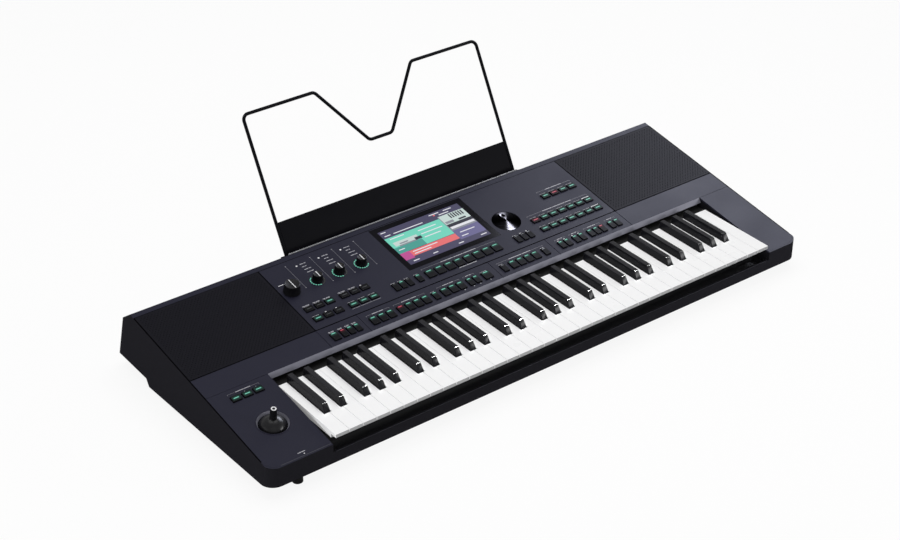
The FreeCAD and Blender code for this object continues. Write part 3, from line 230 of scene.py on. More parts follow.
def button_plastic():
    material = shader_of("button_plastic", (0.0035, 0.0035, 0.0045), roughness=0.42, specular=0.025)
    speckle(material, size=0.8 * MM, dark=(0.003, 0.003, 0.004), light=(0.0045, 0.0045, 0.0055))
    uneven_gloss(material, size=12 * MM, low=0.38, high=0.48)
    tree = material.node_tree
    shader = main_shader(material)
    glow = tree.nodes.new("ShaderNodeVertexColor")
    glow.layer_name = "glow"
    tree.links.new(glow.outputs["Color"], shader.inputs["Emission Color"])
    set_inputs(shader, {"Emission Strength": 1})
    return grain(material, size=0.3 * MM, depth=0.01 * MM)


def knob_plastic():
    material = shader_of("knob_plastic", (0.004, 0.004, 0.005), roughness=0.36, specular=0.08)
    speckle(material, size=0.7 * MM, dark=(0.003, 0.003, 0.004), light=(0.0055, 0.0055, 0.0065))
    uneven_gloss(material, size=8 * MM, low=0.3, high=0.42)
    return grain(material, size=0.3 * MM, depth=0.01 * MM)


def stick_gloss():
    material = shader_of("stick_gloss", (0.005, 0.005, 0.006), roughness=0.28, specular=0.16)
    return uneven_gloss(material, size=10 * MM, low=0.24, high=0.33)


def screen_black():
    material = shader_of("screen_black", (0.0035, 0.0033, 0.0055), roughness=0.12, specular=0.03)
    return uneven_gloss(material, size=50 * MM, low=0.09, high=0.15)


def wire_coat():
    material = shader_of("wire_coat", (0.003, 0.003, 0.0042), roughness=0.36, specular=0.025)
    uneven_gloss(material, size=25 * MM, low=0.3, high=0.42)
    return grain(material, size=0.8 * MM, depth=0.02 * MM)


def steel():
    material = shader_of("steel", (0.55, 0.55, 0.56), roughness=0.32, metallic=1.0)
    return uneven_gloss(material, size=6 * MM, low=0.24, high=0.4)


def nickel():
    material = shader_of("nickel", (0.66, 0.65, 0.62), roughness=0.2, metallic=1.0)
    return uneven_gloss(material, size=5 * MM, low=0.15, high=0.28)


def rubber():
    material = shader_of("rubber", (0.007, 0.007, 0.007), roughness=0.75, specular=0.06)
    speckle(material, size=1 * MM, dark=(0.006, 0.006, 0.006), light=(0.008, 0.008, 0.008))
    return grain(material, size=0.6 * MM, depth=0.03 * MM)


FELT_SHEEN = 0.1


def felt():
    material = shader_of("felt", (0.006, 0.006, 0.006), roughness=0.95, specular=0.1)
    set_inputs(main_shader(material), {"Sheen Weight": FELT_SHEEN})
    return grain(material, size=0.4 * MM, depth=0.12 * MM)


def cone_paper():
    material = shader_of("cone_paper", (0.008, 0.008, 0.008), roughness=0.85, specular=0.2)
    return grain(material, size=0.7 * MM, depth=0.06 * MM)


def circuit():
    material = shader_of("circuit", (0.012, 0.07, 0.03), roughness=0.4)
    return speckle(material, size=3 * MM, dark=(0.01, 0.06, 0.026), light=(0.02, 0.09, 0.04))


def green_light():
    return lit("green_light", LIGHT_BASE, LIGHT_COLOURS["g"], LIGHT_ROUGHNESS)


def red_light():
    return lit("red_light", LIGHT_BASE, LIGHT_COLOURS["r"], LIGHT_ROUGHNESS)


def dark_light():
    material = shader_of("dark_light", (0.012, 0.016, 0.016), roughness=0.3, specular=0.3)
    return uneven_gloss(material, size=4 * MM, low=0.25, high=0.35)


def ink_of(name, colour):
    material = shader_of(name, colour, roughness=0.55, specular=0.2)
    return uneven_gloss(material, size=5 * MM, low=0.5, high=0.6)


def grey_ink():
    return ink_of("grey_ink", (0.38, 0.38, 0.41))


def white_ink():
    return ink_of("white_ink", (0.75, 0.75, 0.77))


def dim_ink():
    return ink_of("dim_ink", (0.15, 0.15, 0.17))


INKS = (grey_ink, white_ink, dim_ink)
QUARTER_TURN = 0.25


def dial_gloss():
    """Turned black gloss, so the light draws a fan out from the middle."""
    material = shader_of("dial_gloss", (0.002, 0.002, 0.0024), roughness=0.3, metallic=1.0)
    tree = material.node_tree
    shader = main_shader(material)
    set_inputs(shader, {"Specular Tint": (0, 0, 0, 1), "Anisotropic": 1,
                        "Anisotropic Rotation": QUARTER_TURN})
    tangent = tree.nodes.new("ShaderNodeTangent")
    tangent.direction_type = "RADIAL"
    tangent.axis = "Z"
    tree.links.new(tangent.outputs["Tangent"], shader.inputs["Tangent"])
    return material


def ledge_metal():
    material = shader_of("ledge_metal", (0.2, 0.2, 0.205), roughness=0.45, specular=0.3, metallic=0.3)
    return uneven_gloss(material, size=12 * MM, low=0.34, high=0.48)


MATERIALS = {}


def finish_of(maker):
    """One shared material for every piece that has this finish."""
    if maker not in MATERIALS:
        MATERIALS[maker] = maker()
    return MATERIALS[maker]


# Mesh helpers

ARC_STEPS = 5
BOX_SIDES = ((0, 2, 3, 1), (4, 5, 7, 6), (0, 1, 5, 4), (2, 6, 7, 3), (0, 4, 6, 2), (1, 3, 7, 5))


def steps_between(low, high, count):
    return [low + (high - low) * index / count for index in range(count + 1)]


def add_box(mesh, low, high, finish=0):
    corners = []
    for z in (low[2], high[2]):
        for y in (low[1], high[1]):
            for x in (low[0], high[0]):
                corners.append(mesh.verts.new((x, y, z)))
    for side in BOX_SIDES:
        mesh.faces.new([corners[index] for index in side]).material_index = finish


def add_turned(mesh, profile, sides, flutes=0, closed=False, centre=(0, 0), finish=0):
    """A turned shape: a row of the profile is a radius, a height and the depth of the flutes there."""
    rings = []
    for radius, height, depth in profile:
        ring = []
        for index in range(sides):
            angle = 2 * math.pi * index / sides
            reach = radius - depth * (1 - math.cos(flutes * angle)) / 2
            place = (centre[0] + reach * math.cos(angle), centre[1] + reach * math.sin(angle), height)
            ring.append(mesh.verts.new(place))
        rings.append(ring)
    pairs = list(zip(rings, rings[1:]))
    faces = []
    if closed:
        pairs.append((rings[-1], rings[0]))
    else:
        faces.append(mesh.faces.new(list(reversed(rings[0]))))
        faces.append(mesh.faces.new(rings[-1]))
    for lower, upper in pairs:
        for index in range(sides):
            following = (index + 1) % sides
            faces.append(mesh.faces.new((lower[index], lower[following], upper[following], upper[index])))
    for face in faces:
        face.material_index = finish


def add_arc(mesh, centre, radii, angles, heights, finish):
    """A closed piece of a flat ring between two angles."""
    section = ((radii[0], heights[0]), (radii[1], heights[0]), (radii[1], heights[1]), (radii[0], heights[1]))
    rows = []
    for angle in steps_between(*angles, ARC_STEPS):
        row = []
        for radius, height in section:
            place = (centre[0] + radius * math.cos(angle), centre[1] + radius * math.sin(angle), height)
            row.append(mesh.verts.new(place))
        rows.append(row)
    faces = [mesh.faces.new(rows[0]), mesh.faces.new(list(reversed(rows[-1])))]
    for before, after in zip(rows, rows[1:]):
        for index in range(len(section)):
            following = (index + 1) % len(section)
            faces.append(mesh.faces.new((before[index], after[index], after[following], before[following])))
    for face in faces:
        face.material_index = finish


def add_slab(mesh, across, along, low, high):
    """A closed flat slab cut into a grid. Gives back its upper points."""
    layers = []
    for height in (low, high):
        layers.append([[mesh.verts.new((u, v, height)) for u in across] for v in along])
    for layer in layers:
        for near, far in zip(layer, layer[1:]):
            for column in range(len(across) - 1):
                mesh.faces.new((near[column], near[column + 1], far[column + 1], far[column]))
    rims = []
    for layer in layers:
        right = [row[-1] for row in layer[1:]]
        left = [row[0] for row in layer[1:-1]]
        rims.append(layer[0] + right + list(reversed(layer[-1][:-1])) + list(reversed(left)))
    for index in range(len(rims[0])):
        following = (index + 1) % len(rims[0])
        mesh.faces.new((rims[0][index], rims[0][following], rims[1][following], rims[1][index]))
    return [point for row in layers[1] for point in row]


def add_object(name, data):
    thing = bpy.data.objects.new(name, data)
    bpy.context.scene.collection.objects.link(thing)
    return thing


def piece(name, mesh, body, makers, place=PANEL, smooth=False):
    bmesh.ops.recalc_face_normals(mesh, faces=mesh.faces)
    data = bpy.data.meshes.new(name)
    mesh.to_mesh(data)
    mesh.free()
    for maker in makers:
        data.materials.append(finish_of(maker))
    if smooth:
        data.polygons.foreach_set("use_smooth", [True] * len(data.polygons))
        data.set_sharp_from_angle(angle=SMOOTH_UP_TO)
    thing = add_object(name, data)
    thing.matrix_world = place
    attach(thing, body)
    return thing


def extent(points):
    return [Vector([pick(values) for values in zip(*points)]) for pick in (min, max)]


def points_of(node):
    """Points of a node in the panel's directions."""
    return [INTO_PANEL @ vert.co for vert in NODES[node].data.vertices]


def plate_box(node):
    """Lowest and highest corner of a node in the panel's directions."""
    return extent(points_of(node))


def solids_of(node):
    """Points of each separate solid of a node, in the panel's directions."""
    mesh = bmesh.new()
    mesh.from_mesh(NODES[node].data)
    bmesh.ops.remove_doubles(mesh, verts=mesh.verts, dist=WELD)
    waiting = set(mesh.verts)
    solids = []
    for start in list(mesh.verts):
        if start not in waiting:
            continue
        waiting.remove(start)
        stack = [start]
        points = []
        while stack:
            vert = stack.pop()
            points.append(INTO_PANEL @ vert.co)
            for edge in vert.link_edges:
                other = edge.other_vert(vert)
                if other in waiting:
                    waiting.remove(other)
                    stack.append(other)
        solids.append(points)
    mesh.free()
    return solids


def caps_of(node):
    """Top face of every button of a node, front row first and each row from left to right."""
    caps = []
    for points in solids_of(node):
        top = max(point.z for point in points)
        caps.append(extent([point for point in points if top - point.z < ROW_STEP]))
    return sorted(caps, key=lambda cap: (round(cap[0].y / ROW_STEP), cap[0].x))


def joint_spot(joint):
    """Where a joint lies, in the panel's directions."""
    return INTO_PANEL @ Vector(JOINTS[joint]["pos_m"])


def assign_spots():
    return [joint_spot(f"assign_{index}_turn") for index in (1, 2, 3)]


def joint_place(joint):
    """Frame of a knob: on the joint, with its Z along the panel's normal."""
    return Matrix.Translation(Vector(JOINTS[joint]["pos_m"])) @ TURN


# Lights in the buttons: g is green, r is red, a point is unlit; front row first, left to right

LIGHT_STATES = {
    "left_panel_buttons": "g..ggg..g...",
    "page_buttons": ".g.g",
    "screen_row_buttons": "gggggggg",
    "dial_buttons": "...",
    "right_buttons_top": "grgg",
    "right_buttons_middle": "rgggggg",
    "right_buttons_low": "ggggggg",
    "strip_buttons_1": "grgg",
    "strip_buttons_2": "gggrgggggggggg",
    "strip_buttons_3": ".gggg.",
    "strip_buttons_4": "ggggggrgg",
    "cheek_buttons": "ggg",
}


# CAD nodes: finish and width of their rounded edges in millimetres

FINISHES = {
    case_plastic: (("bottom_case", 1.2), ("stand_holder", 0.4)),
    panel_paint: (("top_deck", 0.35), ("left_cheek", 0.35), ("right_cheek", 0.35), ("control_panel", 0.35),
                  ("joystick_bezel", 0.3)),
    screen_black: (("display_glass", 0.25), ("lcd_module", 0)),
    circuit: (("panel_board", 0), ("main_board", 0), ("key_contact_board", 0)),
    steel: (("control_pots", 0), ("key_hinge_rod", 0), ("joystick_gimbal", 0.2), ("case_screws", 0.3)),
    knob_plastic: (("power_inlet", 0.3), ("key_bed", 0), ("speaker_frames", 0)),
    cone_paper: (("speaker_cones", 0),),
    rubber: (("rubber_contacts", 0), ("rubber_feet", 3.0)),
    felt: (("stop_felts", 0.3),),
    nickel: (("jack_sockets", 0.3),),
    stick_gloss: (("joystick_stick", 0.4),),
    wire_coat: (("stand_frame", 0), ("stand_plate", 0.4)),
}
OCTAVES = range(1, 6)
WHITE_KEYS = [f"white_keys_{octave}" for octave in OCTAVES] + ["top_white_key"]
BLACK_KEYS = [f"black_keys_{octave}" for octave in OCTAVES]
WHITE_KEY_ROUNDING = 0.6
BLACK_KEY_ROUNDING = 1.3
BUTTON_ROUNDING = 0.5
FINISHES[white_key_plastic] = [(node, WHITE_KEY_ROUNDING) for node in WHITE_KEYS]
FINISHES[black_key_plastic] = [(node, BLACK_KEY_ROUNDING) for node in BLACK_KEYS]
FINISHES[button_plastic] = [(node, BUTTON_ROUNDING) for node in (*LIGHT_STATES, "power_button")]
BEVEL_SEGMENTS = 2
BEVEL_FROM = math.radians(32)


def dress(node, material, rounding):
    thing = NODES[node]
    thing.data.materials.clear()
    thing.data.materials.append(material)
    thing.data.polygons.foreach_set("use_smooth", [True] * len(thing.data.polygons))
    weld = thing.modifiers.new("weld", "WELD")
    weld.merge_threshold = WELD
    if rounding:
        bevel = thing.modifiers.new("rounding", "BEVEL")
        bevel.width = rounding * MM
        bevel.segments = BEVEL_SEGMENTS
        bevel.limit_method = "ANGLE"
        bevel.angle_limit = BEVEL_FROM
        bevel.use_clamp_overlap = True
    sharpen = thing.modifiers.new("sharpen", "WEIGHTED_NORMAL")
    sharpen.keep_sharp = True


def dress_nodes():
    for maker, members in FINISHES.items():
        for node, rounding in members:
            dress(node, finish_of(maker), rounding)


def paint_faces(node, maker, chosen):
    """The faces of a node that are chosen get a second finish."""
    data = NODES[node].data
    data.materials.append(finish_of(maker))
    for face in data.polygons:
        if chosen(face):
            face.material_index = 1


FLUSH = 0.995


def case_rims():
    """The rims of the case that lie flush with the sloping top have its paint."""
    paint_faces("bottom_case", panel_paint, lambda face: face.normal.dot(NORMAL) > FLUSH)


LIP_LEAN = 0.3


def deck_lip():
    """The bevelled front edge of the deck strip is painted lighter, a painted sheen for the light it catches.
    """
    def on_lip(face):
        return face.normal.dot(UPHILL) < -LIP_LEAN and face.normal.dot(NORMAL) > LIP_LEAN

    paint_faces("top_deck", painted_sheen, on_lip)


FRONT_FACING = 0.8


def key_fronts():
    """The fronts of the white keys are painted greyer than their tops, a painted shade."""
    for node in WHITE_KEYS:
        paint_faces(node, key_front_painted_shade, lambda face: face.normal.y < -FRONT_FACING)


BOWL_LEAN = (0.2, 0.9)


def joystick_bowl():
    """The sloping wall of the joystick's bowl has the painted sheen too, for the light its far side catches.
    """
    centre = Vector(JOINTS["joystick_sideways"]["pos_m"])

    def on_wall(face):
        inward = (centre - face.center).dot(face.normal) > 0
        return inward and BOWL_LEAN[0] < face.normal.dot(NORMAL) < BOWL_LEAN[1]

    paint_faces("joystick_bezel", painted_sheen, on_wall)


# Lights in the buttons: a bar on each cap, with a soft glow around it

LIGHT_COLOURS = {"g": (0.14, 0.54, 0.4), "r": (0.54, 0.035, 0.08), ".": (0.0, 0.0, 0.0)}
LIGHT_FINISH = {"g": 1, "r": 2, ".": 3}
LIGHT_BASE = (0.05, 0.06, 0.06)
LIGHT_ROUGHNESS = 0.3
TALL_CAP = 14 * MM
BAR_WIDTH_SHARE = 0.54
BAR_DEPTH = 1.5 * MM
BAR_FROM_REAR = 2.6 * MM
BAR_HEIGHT = 0.1 * MM
GLOW_INSET = 0.9 * MM
GLOW_HEIGHT = 0.03 * MM
GLOW_REACH = 2.6 * MM
GLOW_STRENGTH = 0.11
GLOW_CELLS = (12, 10)


def button_lights(node, states):
    mesh = bmesh.new()
    glow = mesh.verts.layers.float_color.new("glow")
    for (low, high), state in zip(caps_of(node), states):
        top = high.z
        middle = (low.x + high.x) / 2
        half = (high.x - low.x) / 2 * BAR_WIDTH_SHARE
        row = (low.y + high.y) / 2
        if high.y - low.y > TALL_CAP:
            row = high.y - BAR_FROM_REAR
        across = steps_between(low.x + GLOW_INSET, high.x - GLOW_INSET, GLOW_CELLS[0])
        along = steps_between(low.y + GLOW_INSET, high.y - GLOW_INSET, GLOW_CELLS[1])
        for point in add_slab(mesh, across, along, top - PRINT_SINK, top + GLOW_HEIGHT):
            aside = max(abs(point.co.x - middle) - half, 0)
            away = max(abs(point.co.y - row) - BAR_DEPTH / 2, 0)
            share = GLOW_STRENGTH * math.exp(-((aside * aside + away * away) / GLOW_REACH ** 2))
            point[glow] = [part * share for part in LIGHT_COLOURS[state]] + [1]
        add_box(mesh, (middle - half, row - BAR_DEPTH / 2, top),
                (middle + half, row + BAR_DEPTH / 2, top + BAR_HEIGHT), LIGHT_FINISH[state])
    makers = (button_plastic, green_light, red_light, dark_light)
    piece(f"{node}_lights", mesh, node, makers)


# Printed lines: plain bars and dots stand where the instrument has words

LINE = 0.5 * MM
WORD_HEIGHT = 1.3 * MM
WORD_GAP = 1.0 * MM
LABEL_GAP = 1.9 * MM
LABEL_STEP = 2.1 * MM
TICK = 2.2 * MM
DOT_RADIUS = 1.5 * MM
SMALL_DOT = 0.9 * MM
TINY_DOT = 0.6 * MM
DOT_SIDES = 20
WORD_SHARES = ((2, 3), (3, 2))
LABEL_TRIM_SHARE = 0.1
LABEL_TAPER_SHARE = 0.08
BRACKET_WORDS_SHARE = 0.24
GREY_INK, WHITE_INK, DIM_INK = range(3)


def patch(mesh, left, right, front, rear, finish=0):
    """A thin flat patch on the panel's surface."""
    add_box(mesh, (left, front, -PRINT_SINK), (right, rear, PRINT_HEIGHT), finish)


def mark(mesh, left, right, row, height, ink=GREY_INK):
    patch(mesh, left, right, row - height / 2, row + height / 2, ink)


def dot(mesh, u, v, radius=DOT_RADIUS, ink=WHITE_INK):
    profile = ((radius, -PRINT_SINK, 0), (radius, PRINT_HEIGHT, 0))
    add_turned(mesh, profile, DOT_SIDES, centre=(u, v), finish=ink)


def words(mesh, left, right, row, shares, ink=GREY_INK):
    """Short bars in a row, as long as their shares of the space."""
    room = right - left - WORD_GAP * (len(shares) - 1)
    for share in shares:
        mark(mesh, left, left + room * share / sum(shares), row, WORD_HEIGHT, ink)
        left += room * share / sum(shares) + WORD_GAP


def label(mesh, cap, lines=1):
    """Lines of short words behind a button."""
    low, high = cap
    width = high.x - low.x
    for line in range(lines):
        trim = width * (LABEL_TRIM_SHARE + LABEL_TAPER_SHARE * line)
        row = high.y + LABEL_GAP + LABEL_STEP * (lines - 1 - line)
        words(mesh, low.x + trim, high.x - trim, row, WORD_SHARES[line % 2])


def bracket(mesh, caps, gap, shares):
    """A line with end ticks behind a run of buttons, with words in its middle."""
    left = caps[0][0].x
    right = caps[-1][1].x
    row = caps[0][1].y + gap
    middle = (left + right) / 2
    half = (right - left) * BRACKET_WORDS_SHARE
    mark(mesh, left, middle - half - WORD_GAP, row, LINE, DIM_INK)
    mark(mesh, middle + half + WORD_GAP, right, row, LINE, DIM_INK)
    words(mesh, middle - half, middle + half, row, shares)
    for end in (left, right - LINE):
        patch(mesh, end, end + LINE, row - TICK, row - LINE / 2, DIM_INK)


KNOB_LEGEND_LEFT = -3 * MM
KNOB_LEGEND_ROWS = ((45.4 * MM, 11 * MM), (38.4 * MM, 8 * MM), (31.4 * MM, 12 * MM), (24 * MM, 12 * MM))
KNOB_LEGEND_DOT = (-9.2 * MM, 44.4 * MM)
DIVIDER_BESIDE_KNOB = 20.3 * MM
FIRST_DIVIDER = -25 * MM
DIVIDER_ENDS = (-13 * MM, 52 * MM)
FIRST_DIVIDER_FRONT = -6 * MM
DIVIDER_DOT = 0.75 * MM
VOLUME_LABEL = (11 * MM, 20.7 * MM)


def knob_print(mesh):
    volume = joint_spot("volume_turn")
    half, up = VOLUME_LABEL
    words(mesh, volume.x - half, volume.x + half, volume.y + up, (3, 4), WHITE_INK)
    spots = assign_spots()
    dividers = [spots[0].x + FIRST_DIVIDER] + [spot.x + DIVIDER_BESIDE_KNOB for spot in spots]
    low, high = (spots[0].y + end for end in DIVIDER_ENDS)
    for index, u in enumerate(dividers):
        front = low if index else spots[0].y + FIRST_DIVIDER_FRONT
        patch(mesh, u - LINE / 2, u + LINE / 2, front, high, DIM_INK)
        for v in (front, high):
            dot(mesh, u, v, DIVIDER_DOT, GREY_INK)
    for spot in spots:
        dot(mesh, spot.x + KNOB_LEGEND_DOT[0], spot.y + KNOB_LEGEND_DOT[1])
        left = spot.x + KNOB_LEGEND_LEFT
        for row, length in KNOB_LEGEND_ROWS:
            words(mesh, left, left + length, spot.y + row, (3, 2))


LEFT_CAPTION = (3, 5)
SCREEN_CAPTION = (3, 4)
LEFT_DOTS = (1, 2)
LEFT_LAST = 11
LEFT_LAST_DOT_SHARE = 1 / 3
LEFT_FRONT_COUNT = 6
SCREEN_BRACKET_GAP = 7.5 * MM
RIGHT_BRACKET_GAPS = {"right_buttons_top": 9.5 * MM, "right_buttons_middle": 9 * MM}
PLAIN_LABEL = 2.4 * MM


def dot_behind(mesh, cap, share=0.5):
    """A dot behind a button, at a share of its width."""
    low, high = cap
    dot(mesh, low.x + (high.x - low.x) * share, high.y + LABEL_GAP)


def caption(mesh, caps, ends, shares, ink=GREY_INK):
    """Words in front of a run of buttons."""
    first, last = (caps[end] for end in ends)
    words(mesh, first[0].x, last[1].x, first[0].y - LABEL_STEP, shares, ink)


def control_panel_print():
    mesh = bmesh.new()
    knob_print(mesh)
    left = caps_of("left_panel_buttons")
    for index, cap in enumerate(left):
        if index in LEFT_DOTS:
            dot_behind(mesh, cap)
        elif index != LEFT_LAST:
            label(mesh, cap, 1 if index < LEFT_FRONT_COUNT else 2)
    dot_behind(mesh, left[LEFT_LAST], LEFT_LAST_DOT_SHARE)
    caption(mesh, left, LEFT_CAPTION, (2, 3, 2), DIM_INK)
    for cap in caps_of("page_buttons"):
        label(mesh, cap)
    screen = caps_of("screen_row_buttons")
    bracket(mesh, screen, SCREEN_BRACKET_GAP, (4, 3, 4))
    caption(mesh, screen, SCREEN_CAPTION, (3, 4))
    beside_dial = caps_of("dial_buttons")
    label(mesh, beside_dial[0])
    for cap in beside_dial[1:]:
        dot_behind(mesh, cap)
    for node in ("right_buttons_top", "right_buttons_middle", "right_buttons_low"):
        caps = caps_of(node)
        if node in RIGHT_BRACKET_GAPS:
            bracket(mesh, caps, RIGHT_BRACKET_GAPS[node], (3, 4, 2))
        if node != "right_buttons_top":
            low, high = caps.pop()
            mark(mesh, low.x, high.x, high.y + LABEL_GAP, PLAIN_LABEL, WHITE_INK)
        for cap in caps:
            label(mesh, cap)
    piece("control_panel_print", mesh, "case", INKS)


STRIP_GROUPS = {"strip_buttons_2": ((0, 3), (3, 7), (8, 11), (11, 13)), "strip_buttons_3": ((0, 6),),
                "strip_buttons_4": ((0, 2), (2, 4), (4, 7), (7, 9))}
STRIP_SINGLES = {"strip_buttons_1": (0, 1, 2, 3), "strip_buttons_2": (7, 13), "strip_buttons_3": (0, 5)}
STRIP_FRONT_DOTS = {"strip_buttons_2": (10, 11, 12, 13)}
STRIP_REAR_DOTS = {"strip_buttons_4": (0, 1, 2, 3)}
STRIP_BRACKET_GAP = 6.6 * MM


def top_deck_print():
    mesh = bmesh.new()
    for node in ("strip_buttons_1", "strip_buttons_2", "strip_buttons_3", "strip_buttons_4"):
        caps = caps_of(node)
        for first, last in STRIP_GROUPS.get(node, ()):
            bracket(mesh, caps[first:last], STRIP_BRACKET_GAP, (3, 2))
        for index in STRIP_SINGLES.get(node, ()):
            label(mesh, caps[index], 2 if node == "strip_buttons_1" else 1)
        for index in STRIP_FRONT_DOTS.get(node, ()):
            low, high = caps[index]
            dot(mesh, (low.x + high.x) / 2, low.y - LABEL_GAP, SMALL_DOT, GREY_INK)
        for index in STRIP_REAR_DOTS.get(node, ()):
            dot_behind(mesh, caps[index])
    piece("top_deck_print", mesh, "case", INKS)


CHEEK_LEGEND = (52 * MM, 8.4 * MM, 12 * MM)
CHEEK_DOT_SHARE = 0.7
CHEEK_BRACKET_GAP = 7 * MM


def left_cheek_print():
    mesh = bmesh.new()
    caps = caps_of("cheek_buttons")
    bracket(mesh, caps, CHEEK_BRACKET_GAP, (4, 3))
    for cap in caps[1:]:
        dot(mesh, (cap[0].x + cap[1].x) / 2, cap[1].y + LABEL_GAP, TINY_DOT, GREY_INK)
    low = plate_box("left_cheek")[0]
    aside, up, length = CHEEK_LEGEND
    words(mesh, low.x + aside, low.x + aside + length, low.y + up, (1, 1))
    dot(mesh, low.x + aside + length * CHEEK_DOT_SHARE, low.y + up - 2 * LABEL_STEP, SMALL_DOT)
    piece("left_cheek_print", mesh, "case", INKS)


# Screen: plain blocks of colour, each a span across and a span from front to rear in shares of the picture

VIOLET, MINT, TEAL, PALE, CORAL, MAGENTA, LAVENDER, GREY, WHITE, INK = range(10)
SCREEN_COLOURS = ((0.065, 0.06, 0.115), (0.17, 0.64, 0.49), (0.07, 0.33, 0.28), (0.55, 0.66, 0.63),
                  (0.76, 0.16, 0.165), (0.5, 0.08, 0.28), (0.14, 0.13, 0.27), (0.25, 0.26, 0.3),
                  (0.75, 0.75, 0.8), (0.03, 0.03, 0.045))
SCREEN_BASE = (0.004, 0.004, 0.005)
SCREEN_ROUGHNESS = 0.25
SCREEN_MARGIN = 5 * MM
SCREEN_LEFT = 3 * MM
SCREEN_LAYER = 0.012 * MM
SCREEN_BLOCKS = (
    (VIOLET, (0, 1), (0, 1)), (MINT, (0, 0.68), (0.33, 0.79)), (TEAL, (0, 0.34), (0.33, 0.5)),
    (PALE, (0.04, 0.33), (0.53, 0.64)), (CORAL, (0.02, 0.68), (0.17, 0.32)),
    (MAGENTA, (0, 0.11), (0.13, 0.33)), (LAVENDER, (0.68, 1), (0.12, 0.4)), (GREY, (0.68, 1), (0.4, 0.84)),
    (PALE, (0.69, 1), (0.58, 0.84)), (WHITE, (0.7, 0.99), (0.44, 0.5)), (VIOLET, (0, 1), (0, 0.13)),
    (GREY, (0.08, 0.3), (0.5, 0.53)), (INK, (0.69, 1), (0.5, 0.58)), (INK, (0.28, 0.36), (0.51, 0.58)),
    (GREY, (0.7, 0.8), (0.6, 0.66)), (INK, (0.86, 0.95), (0.6, 0.64)), (GREY, (0.1, 0.2), (0.55, 0.58)),
    (CORAL, (0.66, 0.68), (0.9, 0.93)),
)
SCREEN_WORDS = (
    ((0.02, 0.08), 0.95), ((0.62, 0.74), 0.95), ((0.8, 0.9), 0.95), ((0.03, 0.1), 0.85), ((0.14, 0.5), 0.85),
    ((0.72, 0.84), 0.885), ((0.38, 0.6), 0.7), ((0.38, 0.64), 0.6), ((0.38, 0.58), 0.5), ((0.05, 0.22), 0.74),
    ((0.14, 0.44), 0.275), ((0.14, 0.34), 0.215), ((0.74, 0.92), 0.3), ((0.72, 0.8), 0.2),
    ((0.03, 0.1), 0.42), ((0.06, 0.13), 0.06), ((0.3, 0.36), 0.06), ((0.62, 0.68), 0.06), ((0.9, 0.97), 0.06),
)
SCREEN_WORD_HEIGHT = 1.7 * MM
SCREEN_STRIPES = 6
SCREEN_STRIPE_SPAN = ((0.8, 0.98), (0.7, 0.82))


def screen_picture():
    """Each later block lies a little higher, so it hides what it covers."""
    low, high = plate_box("lcd_module")
    top = plate_box("display_glass")[1].z
    corner = low + Vector((SCREEN_LEFT, SCREEN_MARGIN, 0))
    size = high - low - Vector((SCREEN_LEFT + SCREEN_MARGIN, 2 * SCREEN_MARGIN, 0))
    layers = list(SCREEN_BLOCKS)
    half = SCREEN_WORD_HEIGHT / size.y / 2
    for across, row in SCREEN_WORDS:
        layers.append((WHITE, across, (row - half, row + half)))
    (left, right), along = SCREEN_STRIPE_SPAN
    pitch = (right - left) / SCREEN_STRIPES
    for index in range(SCREEN_STRIPES):
        start = left + pitch * index
        layers.append((INK, (start, start + pitch / 2), along))
    mesh = bmesh.new()
    for index, (ink, across, along) in enumerate(layers):
        height = top + SCREEN_LAYER * (index + 1)
        add_box(mesh, (corner.x + size.x * across[0], corner.y + size.y * along[0], top - PRINT_SINK),
                (corner.x + size.x * across[1], corner.y + size.y * along[1], height), ink)
    picture = piece("screen_picture", mesh, "case", ())
    for index, colour in enumerate(SCREEN_COLOURS):
        picture.data.materials.append(lit(f"screen_{index}", SCREEN_BASE, colour, SCREEN_ROUGHNESS))


# Speaker grilles

HOLE_PITCH = 5.8 * MM
HOLE_ROW_STEP = 3.3 * MM
HOLE_RADIUS = 1.0 * MM
HOLE_SIDES = 8
GRILLE_MARGIN = 5 * MM
SHEET_THICKNESS = 0.5 * MM
CLOTH_GAP = 0.1 * MM
TRIANGLES_INSIDE = 1
SAME_POINT = 0.00001 * MM


